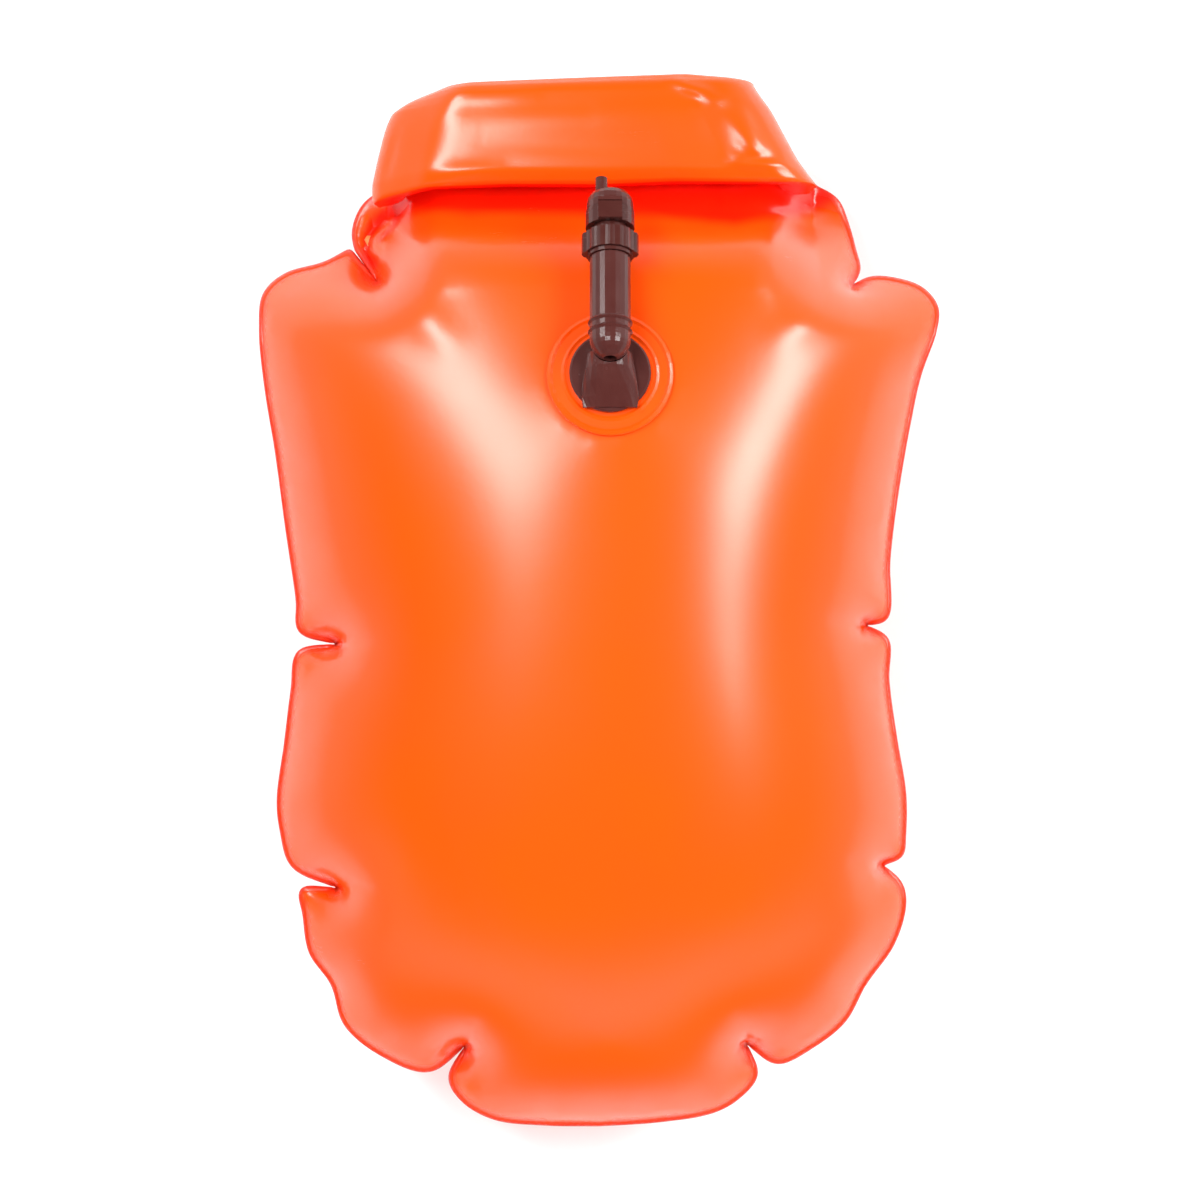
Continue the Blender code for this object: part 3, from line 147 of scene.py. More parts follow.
def build_studio():
    """Plain light walls that darken upwards and towards the foot of the bag."""
    bpy.context.scene.view_settings.view_transform = "Standard"
    world = bpy.data.worlds.new("studio")
    bpy.context.scene.world = world
    world.use_nodes = True
    nodes = Nodes(world.node_tree)
    way = nodes.add("SeparateXYZ", {0: nodes.add("TexCoord")}).node.outputs
    walls = nodes.ramp(way["Z"], (0.0, 1.0), (STUDIO_HIGH_AT, STUDIO_HIGH))
    foot = nodes.add("MapRange", {
        "Value": way["Y"], "From Min": STUDIO_FOOT_AT, "From Max": 0.0, "To Min": STUDIO_FOOT,
    })
    dim = nodes.add("VectorMath", {0: walls, "Scale": foot}, operation="SCALE")
    nodes.tree.links.new(dim, nodes.tree.nodes["Background"].inputs["Color"])


def build_floor():
    """A plain pale sheet just under the bag."""
    shape = bmesh.new()
    bmesh.ops.create_grid(shape, x_segments=FLOOR_SQUARES, y_segments=FLOOR_SQUARES, size=FLOOR_HALF_SIZE)
    mesh = bpy.data.meshes.new("floor")
    shape.to_mesh(mesh)
    shape.free()
    floor = bpy.data.objects.new("floor", mesh)
    bpy.context.collection.objects.link(floor)
    floor.location = (0, 0, -FLOOR_UNDER)
    paint, shader, _ = new_material("floor_paper", FLOOR_PAPER, 0.9)
    shader.inputs["Emission Color"].default_value = (1, 1, 1, 1)
    shader.inputs["Emission Strength"].default_value = FLOOR_GLOW
    mesh.materials.append(paint)


def build_lights():
    """Two long softboxes for the streaks on the film, and a dim one that its gloss doesn't show."""
    for light in LIGHTS:
        softbox(*light)
    softbox(*FOOT_LIGHT).visible_glossy = False


# Materials


class Nodes:
    """A node tree that is filled a node at a time, each joined to what feeds it."""

    def __init__(self, tree):
        self.tree = tree

    def add(self, kind, feeds=(), out=0, **settings):
        node = self.tree.nodes.new("ShaderNode" + kind)
        for name, value in settings.items():
            setattr(node, name, value)
        for slot, value in dict(feeds).items():
            if isinstance(value, bpy.types.NodeSocket):
                self.tree.links.new(value, node.inputs[slot])
            else:
                node.inputs[slot].default_value = value
        return node.outputs[out]

    def sum(self, operation, *values):
        """A Math node on sockets and numbers."""
        return self.add("Math", enumerate(values), operation=operation)

    def ramp(self, value, *stops):
        """A colour or grey that follows a value from stop to stop, each (place, colour)."""
        node = self.tree.nodes.new("ShaderNodeValToRGB")
        marks = node.color_ramp.elements
        while len(marks) < len(stops):
            marks.new(0.5)
        for mark, (place, colour) in zip(marks, stops):
            mark.position = place
            mark.color = (*colour, 1) if isinstance(colour, tuple) else (colour, colour, colour, 1)
        self.tree.links.new(value, node.inputs["Fac"])
        return node.outputs["Color"]


def new_group(name, inputs, outputs):
    """An empty shader group: its nodes, its input sockets and its output node."""
    tree = bpy.data.node_groups.new(name, "ShaderNodeTree")
    for label, value in inputs:
        socket = tree.interface.new_socket(name=label, in_out="INPUT", socket_type="NodeSocketFloat")
        socket.default_value = value
    for label in outputs:
        tree.interface.new_socket(name=label, in_out="OUTPUT", socket_type="NodeSocketFloat")
    given = tree.nodes.new("NodeGroupInput")
    return Nodes(tree), given.outputs, tree.nodes.new("NodeGroupOutput").inputs


def grain_group():
    """Fine unevenness of a moulded or coated surface: a height and a slow blotchy tone."""
    nodes, given, made = new_group(
        "surface_grain", (("Scale", 900.0), ("Blotches", 40.0)), ("Height", "Tone"))
    place = nodes.add("TexCoord", out=3)
    fine = nodes.add("TexNoise", {"Vector": place, "Scale": given["Scale"], "Detail": 3.0})
    slow = nodes.add("TexNoise", {"Vector": place, "Scale": given["Blotches"], "Detail": 2.0})
    nodes.tree.links.new(fine, made["Height"])
    nodes.tree.links.new(slow, made["Tone"])
    return nodes.tree


def marks_group():
    """Light handling marks: thin short scratches that come and go over the surface."""
    nodes, given, made = new_group(
        "handling_marks", (("Scale", 60.0), ("Amount", 0.5)), ("Mask",))
    place = nodes.add("TexCoord", out=3)
    bent = nodes.add("Mapping", {"Vector": place, "Rotation": (0.3, 0.2, 0.9), "Scale": (1.0, 9.0, 1.0)})
    lines = nodes.add("TexNoise", {"Vector": bent, "Scale": given["Scale"], "Detail": 4.0, "Roughness": 0.7})
    thin = nodes.ramp(lines, (0.58, 0.0), (0.64, 1.0), (0.68, 0.0))
    where = nodes.add("TexNoise", {"Vector": place, "Scale": 9.0, "Detail": 1.0})
    near = nodes.ramp(where, (0.45, 0.0), (0.70, 1.0))
    mask = nodes.sum("MULTIPLY", nodes.sum("MULTIPLY", thin, near), given["Amount"])
    nodes.tree.links.new(mask, made["Mask"])
    return nodes.tree


def weave_group():
    """Plain weave of flat yarns: its height, and how deep each point lies between them."""
    nodes, given, made = new_group("flat_weave", (("Yarn", 0.0012),), ("Height", "Depth"))
    split = nodes.add("SeparateXYZ", {0: nodes.add("TexCoord", out=3)})
    parts = split.node.outputs
    turns = [
        nodes.sum("MULTIPLY", nodes.sum("DIVIDE", parts[axis], given["Yarn"]), math.pi)
        for axis in ("X", "Y")
    ]
    along = nodes.sum("ABSOLUTE", nodes.sum("SINE", turns[0]))
    across = nodes.sum("ABSOLUTE", nodes.sum("SINE", turns[1]))
    over = nodes.sum("SINE", nodes.sum("ADD", turns[0], turns[1]))
    height = nodes.sum("ADD", nodes.sum("MULTIPLY", along, across), nodes.sum("MULTIPLY", over, 0.25))
    nodes.tree.links.new(height, made["Height"])
    nodes.tree.links.new(nodes.sum("SUBTRACT", 1.0, nodes.sum("MULTIPLY", along, across)), made["Depth"])
    return nodes.tree


def new_material(name, colour, roughness):
    """A new material with its Principled shader and its nodes."""
    finish = bpy.data.materials.new(name)
    finish.use_nodes = True
    shader = finish.node_tree.nodes["Principled BSDF"]
    shader.inputs["Base Color"].default_value = (*colour, 1)
    shader.inputs["Roughness"].default_value = roughness
    finish.diffuse_color = (*colour, 1)
    return finish, shader, Nodes(finish.node_tree)


def group_of(nodes, group, **values):
    """One use of a shader group, with its values: its outputs."""
    node = nodes.tree.nodes.new("ShaderNodeGroup")
    node.node_tree = group
    for name, value in values.items():
        node.inputs[name].default_value = value
    return node.outputs


def tinted(nodes, mask, plain, other):
    """Colour that goes from one, a colour or a socket, to another colour with a mask."""
    plain = (*plain, 1) if isinstance(plain, tuple) else plain
    return nodes.add("Mix", {0: mask, 6: plain, 7: (*other, 1)}, out=2, data_type="RGBA")


def varied(nodes, value, *parts):
    """A value that each (mask, amount) raises."""
    for mask, amount in parts:
        value = nodes.sum("ADD", nodes.sum("MULTIPLY", mask, amount), value)
    return value


def join_up(nodes, shader, colour, rough, height, strength, distance):
    """A shader's colour and roughness, and a fine relief on its normal."""
    bump = nodes.add("Bump", {"Strength": strength, "Distance": distance, "Height": height})
    for value, slot in ((colour, "Base Color"), (rough, "Roughness"), (bump, "Normal")):
        nodes.tree.links.new(value, shader.inputs[slot])


def film_material(groups):
    """Glossy coated film: a slow drift of tone, painted red shade in the neck's folds and under the roll, a
    weld band darkened with painted shade, and faint handling marks.
    """
    finish, shader, nodes = new_material("orange_film", ORANGE, 0.25)
    grain = group_of(nodes, groups["grain"], Scale=420.0, Blotches=22.0)
    marks = group_of(nodes, groups["marks"], Scale=70.0, Amount=0.10)
    weld = nodes.add("Attribute", out=2, attribute_name="weld")
    painted_shade = nodes.add("Attribute", out=2, attribute_name="painted_shade")
    colour = tinted(nodes, grain["Tone"], ORANGE, ORANGE_DEEP)
    # Painted red shade in the neck's folds and on the roll's underside
    colour = tinted(nodes, painted_shade, colour, PAINTED_SHADE_RED)
    # Painted shade darkens the weld band
    colour = tinted(nodes, weld, colour, WELD_SHADE_ORANGE)
    rough = varied(nodes, 0.21, (grain["Tone"], 0.08), (marks["Mask"], 0.15), (weld, 0.12))
    join_up(nodes, shader, colour, rough, grain["Height"], 0.12, 0.0002)
    return finish


def moulded_material(name, groups, plain, worn, grain_scale, marks_amount):
    """Moulded rubber or plastic: fine grain, a drift of tone and light wear marks."""
    finish, shader, nodes = new_material(name, plain, 0.24)
    grain = group_of(nodes, groups["grain"], Scale=grain_scale, Blotches=120.0)
    marks = group_of(nodes, groups["marks"], Scale=160.0, Amount=marks_amount)
    tone = nodes.sum("ADD", nodes.sum("MULTIPLY", grain["Tone"], 0.6), marks["Mask"])
    rough = varied(nodes, 0.17, (grain["Tone"], 0.14), (marks["Mask"], 0.2))
    colour = tinted(nodes, tone, plain, worn)
    join_up(nodes, shader, colour, rough, grain["Height"], 0.25, 0.00015)
    shader.inputs["Specular IOR Level"].default_value = 0.32
    return finish


def webbing_material(groups):
    """Woven black webbing with a soft sheen, and painted shade between its yarns."""
    finish, shader, nodes = new_material("black_webbing", YARN_BLACK, 0.75)
    weave = group_of(nodes, groups["weave"], Yarn=0.0011)
    grain = group_of(nodes, groups["grain"], Scale=2500.0, Blotches=60.0)
    # Painted shade: darker colour where the yarns dip between each other
    shade = nodes.sum("MULTIPLY", weave["Depth"], nodes.sum("ADD", grain["Height"], 0.4))
    rough = varied(nodes, 0.62, (grain["Tone"], 0.2))
    colour = tinted(nodes, shade, YARN_BLACK, YARN_SHADE)
    high = nodes.sum("ADD", weave["Height"], nodes.sum("MULTIPLY", grain["Height"], 0.3))
    join_up(nodes, shader, colour, rough, high, 0.9, 0.0003)
    shader.inputs["Sheen Weight"].default_value = 0.25
    return finish


def liner_material(groups):
    """Satin inner film of a paler orange."""
    finish, shader, nodes = new_material("liner_film", LINER_ORANGE, 0.45)
    grain = group_of(nodes, groups["grain"], Scale=300.0, Blotches=30.0)
    colour = tinted(nodes, grain["Tone"], LINER_ORANGE, LINER_ORANGE_DEEP)
    rough = varied(nodes, 0.35, (grain["Tone"], 0.2))
    join_up(nodes, shader, colour, rough, grain["Height"], 0.2, 0.0002)
    return finish


def steel_material(groups):
    """Drawn stainless wire with fine lines and dull patches."""
    finish, shader, nodes = new_material("steel_wire", STEEL_BRIGHT, 0.25)
    shader.inputs["Metallic"].default_value = 1.0
    grain = group_of(nodes, groups["grain"], Scale=1800.0, Blotches=180.0)
    marks = group_of(nodes, groups["marks"], Scale=400.0, Amount=0.6)
    rough = varied(nodes, 0.12, (grain["Tone"], 0.25), (marks["Mask"], 0.25))
    colour = tinted(nodes, grain["Tone"], STEEL_BRIGHT, STEEL_DULL)
    join_up(nodes, shader, colour, rough, grain["Height"], 0.2, 0.0001)
    return finish


def build_finishes():
    groups = {"grain": grain_group(), "marks": marks_group(), "weave": weave_group()}
    return {
        "orange_film": film_material(groups),
        "liner_film": liner_material(groups),
        "black_rubber": moulded_material(
            "black_rubber", groups, RUBBER_BLACK, RUBBER_WORN, grain_scale=1300.0, marks_amount=0.3),
        "black_plastic": moulded_material(
            "black_plastic", groups, PLASTIC_BLACK, PLASTIC_WORN, grain_scale=2200.0, marks_amount=0.4),
        "webbing": webbing_material(groups),
        "steel": steel_material(groups),
    }


# Mesh helpers


def add_piece(name, vertices, faces, finish):
    """A smooth-shaded mesh object with its finish."""
    mesh = bpy.data.meshes.new(name)
    mesh.from_pydata([tuple(v) for v in vertices], [], [tuple(f) for f in faces])
    mesh.update()
    for face in mesh.polygons:
        face.use_smooth = True
    piece = bpy.data.objects.new(name, mesh)
    bpy.context.collection.objects.link(piece)
    mesh.materials.append(finish)
    return piece


def add_mask(piece, label, values):
    mask = piece.data.attributes.new(label, "FLOAT", "POINT")
    mask.data.foreach_set("value", values)


def thicken(piece, thickness, offset):
    """Makes a sheet a film, behind its points (-1) or on both sides of them (0)."""
    wall = piece.modifiers.new("film", "SOLIDIFY")
    wall.thickness = thickness
    wall.offset = offset


def drop_loose_points(piece):
    """Removes the points that no face uses."""
    shape = bmesh.new()
    shape.from_mesh(piece.data)
    bmesh.ops.delete(shape, geom=[v for v in shape.verts if not v.link_faces], context="VERTS")
    shape.to_mesh(piece.data)
    shape.free()


def round_off(piece):
    """Subdivides a mesh once, for rounder forms."""
    sub = piece.modifiers.new("finer", "SUBSURF")
    sub.levels = sub.render_levels = 1
    return sub


def hose_faces(rows, width):
    """Faces of a closed tube of rows of points, with its two end caps."""
    faces = [
        (r * width + c, r * width + (c + 1) % width, (r + 1) * width + (c + 1) % width, (r + 1) * width + c)
        for r in range(rows - 1) for c in range(width)
    ]
    return faces + [tuple(range(width))[::-1], tuple(range((rows - 1) * width, rows * width))]


def smoothstep(value):
    value = np.clip(value, 0, 1)
    return value * value * (3 - 2 * value)


# Bag

# Welded edge, clockwise from the middle of the neck, as shares of the half width and half
# length. A sharp point is the tip of a tuck or a corner of the neck.
EDGE = (
    (0.000, 0.845, 1), (0.300, 0.845, 0), (0.585, 0.832, 1), (0.645, 0.812, 0),
    (0.716, 0.784, 0), (0.750, 0.730, 0), (0.766, 0.682, 0), (0.776, 0.640, 0),
    (0.750, 0.606, 1), (0.806, 0.624, 0), (0.882, 0.621, 0),
    (0.956, 0.602, 0), (0.997, 0.562, 0), (0.988, 0.514, 0), (0.941, 0.429, 0),
    (0.906, 0.324, 0), (0.871, 0.190, 0), (0.850, 0.076, 0), (0.843, -0.036, 0),
    (0.780, -0.048, 1), (0.846, -0.074, 0), (0.847, -0.152, 0), (0.871, -0.267, 0),
    (0.897, -0.371, 0), (0.896, -0.450, 0), (0.888, -0.488, 0), (0.830, -0.505, 1),
    (0.886, -0.540, 0), (0.897, -0.581, 0), (0.862, -0.657, 0), (0.779, -0.733, 0),
    (0.721, -0.802, 0), (0.624, -0.853, 0), (0.520, -0.884, 0), (0.430, -0.846, 1),
    (0.462, -0.905, 0), (0.409, -0.949, 0), (0.332, -0.977, 0), (0.176, -0.994, 0),
    (0.000, -1.002, 1), (-0.176, -1.000, 0), (-0.309, -0.990, 0), (-0.400, -0.958, 0),
    (-0.444, -0.912, 0), (-0.396, -0.850, 1), (-0.500, -0.899, 0), (-0.632, -0.872, 0),
    (-0.750, -0.810, 0), (-0.788, -0.733, 0), (-0.853, -0.672, 0), (-0.871, -0.600, 0),
    (-0.880, -0.551, 0), (-0.770, -0.549, 1), (-0.905, -0.508, 0), (-0.938, -0.440, 0),
    (-0.947, -0.381, 0), (-0.926, -0.276, 0), (-0.906, -0.171, 0), (-0.887, -0.098, 0),
    (-0.772, -0.084, 1), (-0.884, -0.060, 0), (-0.891, 0.000, 0), (-0.921, 0.133, 0),
    (-0.953, 0.286, 0), (-0.982, 0.400, 0), (-1.000, 0.514, 0), (-0.996, 0.590, 0),
    (-0.941, 0.630, 0), (-0.824, 0.655, 0), (-0.750, 0.684, 1), (-0.660, 0.612, 1),
    (-0.734, 0.680, 1), (-0.745, 0.712, 0), (-0.737, 0.745, 0), (-0.712, 0.775, 0),
    (-0.650, 0.805, 0), (-0.585, 0.832, 1), (-0.300, 0.845, 0),
)
EDGE_STEP = 0.0030
EDGE_POINTS_PER_LEG = 8
BAND_CLEAR = 0.9 * WELD_BAND

# Points over the panel: steps, finer near the edge and at the neck, and how far the rows reach
FILL_STEP = 0.0042
FINE_STEP = 0.0022
FINE_REACH = 0.0075
NECK_FINE = 0.130
FILL_ACROSS = 0.160
FILL_LOW, FILL_HIGH = -0.236, 0.200
FILL_ROW_SHARE = 0.866
# The least distance and area that count, and what keeps a division from nothing
SAME_POINT = 1e-7
SHORTEST_LEG = 1e-6
SLIVER = 1e-9
TINY = 1e-15

# How the sides of the neck bend back
NECK_STRAIGHT_HALF = 0.064
NECK_BEND_RADIUS = 0.014
NECK_BEND_ANGLE = math.radians(52)
NECK_DROP_MOST = 0.032
NECK_DROP_START = 0.48 * BAG_HALF_LENGTH
NECK_DROP_END = 0.76 * BAG_HALF_LENGTH

# The blown-up film: its angle at the weld, and how far the weld holds it down
WELD_ANGLE = math.radians(68)
WELD_HELD = 1.05 * WELD_BAND
PRESS_REACH = 0.050
LEAST_PULL = 0.02
SETTLED = 1e-16
NECK_PINCH = 0.97
NECK_PINCH_AT = 0.181
NECK_PINCH_REACH = 0.020
FLOOR_SOFTNESS = 0.006
LEAST_GAP = 0.00005
VALVE_PLACE = (0.0042, 0.094)
VALVE_PLANE = 0.12545
VALVE_SLOPE = math.tan(math.radians(11))
VALVE_FLAT = 0.029

# The slack weld: how far it hangs, and its waves as (count round the bag, size, start)
FLANGE_HANG = 0.0016
FLANGE_WAVE = 0.55
RIM_REACH = 0.010
RIM_PUCKER = 2.0
RIM_WAVES = ((41, 0.00035, 0.4), (67, 0.00025, 1.9), (23, 0.00030, 2.6))
NECK_CALM_FROM = 0.175
NECK_CALM_REACH = 0.010
NECK_HANG = 0.3

# The dry sack's own films: how far they stay in from the edge and below the mouth, how far
# apart they lie, how much they swell, and how thin they are
LINER_INSET = 0.0045
LINER_TOP = 0.165
LINER_GAP = 0.0008
LINER_RISE = 0.0012
LINER_FILM = 0.0003

# Creases of the blown-up film, as (x0, y0, x1, y1, rise, half width)
BODY_CREASES = (
    (0.117, -0.0110, 0.100, -0.0085, -0.0016, 0.0022),
    (0.127, -0.1165, 0.108, -0.1120, -0.0016, 0.0022),
    (0.066, -0.1950, 0.058, -0.1790, -0.0014, 0.0021),
    (-0.060, -0.1960, -0.052, -0.1800, -0.0014, 0.0021),
    (-0.116, -0.1270, -0.098, -0.1220, -0.0016, 0.0022),
    (-0.116, -0.0194, -0.098, -0.0170, -0.0016, 0.0022),
    (0.114, 0.1400, 0.078, 0.1130, 0.0016, 0.0080),
    (-0.098, 0.1410, -0.066, 0.1110, 0.0016, 0.0080),
    (0.054, 0.1760, 0.055, 0.1660, 0.0014, 0.0017),
    (0.049, 0.1740, 0.047, 0.1640, -0.0010, 0.0022),
    (-0.064, 0.1740, -0.030, 0.1660, 0.0014, 0.0035),
    (0.010, 0.1760, 0.034, 0.1650, 0.0014, 0.0030),
    (0.066, 0.1760, 0.098, 0.1720, 0.0022, 0.0040),
    (0.060, 0.1660, 0.106, 0.1765, -0.0012, 0.0022),
    (-0.088, 0.1790, -0.099, 0.1725, -0.0050, 0.0032),
    (-0.099, 0.1725, -0.1045, 0.1640, -0.0050, 0.0026),
    (-0.1045, 0.1640, -0.1050, 0.1540, -0.0040, 0.0022),
    (-0.1050, 0.1540, -0.0995, 0.1480, -0.0040, 0.0026),
    (-0.088, 0.1780, -0.0925, 0.1680, -0.0028, 0.0020),
    (-0.0925, 0.1680, -0.0990, 0.1610, -0.0024, 0.0018),
)
# How a crease fades towards its two ends
CREASE_TIP = 0.08
CREASE_FADE = 0.6

# Painted red shade at the neck, under the roll: its lower edge across the bag, and how it fades below that
SHADE_EDGE = (
    (-0.108, 0.181), (-0.088, 0.1745), (-0.075, 0.1700), (-0.057, 0.1670), (-0.035, 0.1680),
    (0.0, 0.1665), (0.018, 0.1660), (0.040, 0.1640), (0.058, 0.1615), (0.088, 0.1700), (0.106, 0.1790),
)
SHADE_LEAD = 0.003
SHADE_FADE = 0.008
# The last creases, at the left, get painted shade too: (strength, half width) of the painted shade in each
SHADE_IN = ((1.3, 0.0036), (1.3, 0.0030), (1.1, 0.0022), (1.2, 0.0030), (0.9, 0.0024), (0.8, 0.0020))
SHADE_CREASES = [(*c[:4], *shade) for c, shade in zip(BODY_CREASES[-len(SHADE_IN):], SHADE_IN)]

# The weld's band of painted shade: where it starts to fade, in from the edge, and over what distance
WELD_SHADE_FROM = 0.6 * WELD_BAND
WELD_SHADE_FADE = 0.8 * WELD_BAND


def blend(p, q, start, end, at):
    """The point between two, by where a value lies between theirs."""
    return ((end - at) * p + (at - start) * q) / (end - start)


def rounded_run(points, count):
    """Points on a smooth curve through the given ones, without the last."""
    if len(points) < 3:
        return [points[0] + (points[-1] - points[0]) * k / count for k in range(count)]
    held = [2 * points[0] - points[1], *points, 2 * points[-1] - points[-2]]
    out = []
    for a, b, c, d in zip(held, held[1:], held[2:], held[3:]):
        t = [0.0]
        for p, q in ((a, b), (b, c), (c, d)):
            t.append(t[-1] + max(float(np.linalg.norm(q - p)), SHORTEST_LEG) ** 0.5)
        for k in range(count):
            u = t[1] + (t[2] - t[1]) * k / count
            middle = blend(b, c, t[1], t[2], u)
            left = blend(blend(a, b, t[0], t[1], u), middle, t[0], t[2], u)
            right = blend(middle, blend(c, d, t[2], t[3], u), t[1], t[3], u)
            out.append(blend(left, right, t[1], t[2], u))
    return out


def edge_curve():
    """The welded edge as an evenly spaced closed line."""
    scale = np.array([BAG_HALF_WIDTH, BAG_HALF_LENGTH])
    line, run = [], []
    for x, y, sharp in EDGE + EDGE[:1]:
        run.append(np.array([x, y]) * scale)
        if sharp and len(run) > 1:
            dense = np.array(rounded_run(run, EDGE_POINTS_PER_LEG) + [run[-1]])
            steps = np.linalg.norm(np.diff(dense, axis=0), axis=1)
            length = np.concatenate([[0], np.cumsum(steps)])
            count = max(2, round(length[-1] / EDGE_STEP))
            at = np.linspace(0, length[-1], count + 1)[:-1]
            line += list(zip(np.interp(at, length, dense[:, 0]), np.interp(at, length, dense[:, 1])))
            run = run[-1:]
    return np.array(line)


def outward(line):
    """Unit normals that point out of a clockwise closed line."""
    along = np.roll(line, -1, 0) - np.roll(line, 1, 0)
    for _ in range(2):
        along = (np.roll(along, 1, 0) + 2 * along + np.roll(along, -1, 0)) / 4
    along /= np.linalg.norm(along, axis=1)[:, None]
    return np.stack([-along[:, 1], along[:, 0]], 1)


def inside(points, line):
    """Which points lie within a closed line."""
    within = np.zeros(len(points), bool)
    for (x0, y0), (x1, y1) in zip(line, np.roll(line, -1, 0)):
        crosses = (y0 > points[:, 1]) != (y1 > points[:, 1])
        at = (x1 - x0) * (points[:, 1] - y0) / (y1 - y0 + TINY) + x0
        within ^= crosses & (points[:, 0] < at)
    return within


def distance_to(points, line):
    """Distance from each point to a closed line."""
    near = np.full(len(points), np.inf)
    for a, b in zip(line, np.roll(line, -1, 0)):
        leg = b - a
        t = np.clip(((points - a) @ leg) / (leg @ leg + TINY), 0, 1)
        gap = points - a - t[:, None] * leg
        near = np.minimum(near, np.hypot(gap[:, 0], gap[:, 1]))
    return near


def rows_of_points(step):
    """Points over the whole panel, each row shifted by half a step from the one below."""
    rows = []
    for row, y in enumerate(np.arange(FILL_LOW, FILL_HIGH, step * FILL_ROW_SHARE)):
        shift = step / 2 if row % 2 else 0
        rows += [(x, y) for x in np.arange(-FILL_ACROSS, FILL_ACROSS, step) + shift]
    return np.array(rows)


def pattern():
    """The panel's points, its triangles and each point's distance to the edge."""
    line = edge_curve()
    band = line - outward(line) * WELD_BAND
    band = band[inside(band, line)]
    band = band[distance_to(band, line) > BAND_CLEAR]
    fills = []
    for step in (FILL_STEP, FINE_STEP):
        fill = rows_of_points(step)
        fill = fill[inside(fill, line)]
        gap = distance_to(fill, line)
        fine = (gap < FINE_REACH) | (fill[:, 1] > NECK_FINE)
        kept = fine & (gap > WELD_BAND + step / 2) if step == FINE_STEP else ~fine
        fills.append(fill[kept])
    points = np.vstack([line, band, *fills])
    rim = [(k, (k + 1) % len(line)) for k in range(len(line))]
    flat, _, faces, *_ = delaunay_2d_cdt(
        [Vector(p) for p in points.tolist()], rim, [list(range(len(line)))], 1, SAME_POINT
    )
    flat = np.array([tuple(p) for p in flat])
    faces = np.array([f for f in faces if len(f) == 3])
    turn = turn_of(flat, faces)
    faces[turn < 0] = faces[turn < 0][:, ::-1]
    faces = faces[np.abs(turn) > SLIVER]
    return flat, faces, distance_to(flat, line)


def turn_of(flat, faces):
    """Twice the area of each triangle, below zero where it runs clockwise."""
    a, b, c = (flat[faces[:, k]] for k in range(3))
    return (b - a)[:, 0] * (c - a)[:, 1] - (b - a)[:, 1] * (c - a)[:, 0]


def film_at_rest(flat, faces, held, given=None):
    """Where a film that is held at some points comes to rest, by conjugate gradients.

    It is blown up evenly, or where heights are given at the held points, drawn to these.
    """
    area = np.abs(turn_of(flat, faces)) / 2
    pairs = []
    for i, j, k in ((0, 1, 2), (1, 2, 0), (2, 0, 1)):
        p, q, r = flat[faces[:, i]], flat[faces[:, j]], flat[faces[:, k]]
        slant = ((p - r) * (q - r)).sum(1) / (2 * area)
        pairs.append((faces[:, i], faces[:, j], np.maximum(slant, LEAST_PULL) / 2))
    free = ~held
    share = np.zeros(len(flat))
    for k in range(3):
        np.add.at(share, faces[:, k], area / 3)
    spring = share / PRESS_REACH**2 if given is None else 0 * share

    def pull(u):
        out = spring * u
        for i, j, weight in pairs:
            flow = weight * (u[i] - u[j])
            np.add.at(out, i, flow)
            np.add.at(out, j, -flow)
        return out * free

    rest = np.zeros(len(flat)) if given is None else np.where(held, given, 0.0)
    left = share * free if given is None else -pull(rest)
    way, size, first = left.copy(), left @ left, left @ left
    while size > SETTLED * first:
        drawn = pull(way)
        step = size / (way @ drawn)
        rest += step * way
        left -= step * drawn
        before, size = size, left @ left
        way = left + size / before * way
    return rest


def neck_drop(x, y):
    """How far the weld plane is drawn back at the sides of the neck."""
    aside = np.maximum(np.abs(x) - NECK_STRAIGHT_HALF, 0)
    curved = NECK_BEND_RADIUS * math.sin(NECK_BEND_ANGLE)
    near = NECK_BEND_RADIUS - np.sqrt(np.maximum(NECK_BEND_RADIUS**2 - aside**2, 0))
    far = NECK_BEND_RADIUS * (1 - math.cos(NECK_BEND_ANGLE))
    far = far + (aside - curved) * math.tan(NECK_BEND_ANGLE)
    drop = np.minimum(np.where(aside < curved, near, far), NECK_DROP_MOST)
    return drop * smoothstep((y - NECK_DROP_START) / (NECK_DROP_END - NECK_DROP_START))


def rise_of(pressed):
    """Cross-section that meets the weld at an angle, as an inflated film does."""
    steep = 1 / math.tan(WELD_ANGLE)
    rise = np.sqrt(pressed / pressed.max() + steep**2) - steep
    return rise / rise.max()


def rim_waves(x, y):
    """Small ups and downs of the slack film along the weld."""
    turn = np.arctan2(y / BAG_HALF_LENGTH, x / BAG_HALF_WIDTH)
    return sum(size * np.sin(count * turn + start) for count, size, start in RIM_WAVES)


def grooved(x, y, grooves):
    """Rise (or, below zero, depth) of narrow creases that run from point to point."""
    rise = np.zeros_like(x)
    for x0, y0, x1, y1, high, wide in grooves:
        leg = np.array([x1 - x0, y1 - y0])
        t = np.clip(((x - x0) * leg[0] + (y - y0) * leg[1]) / (leg @ leg), 0, 1)
        gap = np.hypot(x - x0 - t * leg[0], y - y0 - t * leg[1])
        ends = np.sin(math.pi * (CREASE_TIP + (1 - 2 * CREASE_TIP) * t)) ** CREASE_FADE
        rise += high * ends * np.exp(-((gap / wide) ** 2))
    return rise


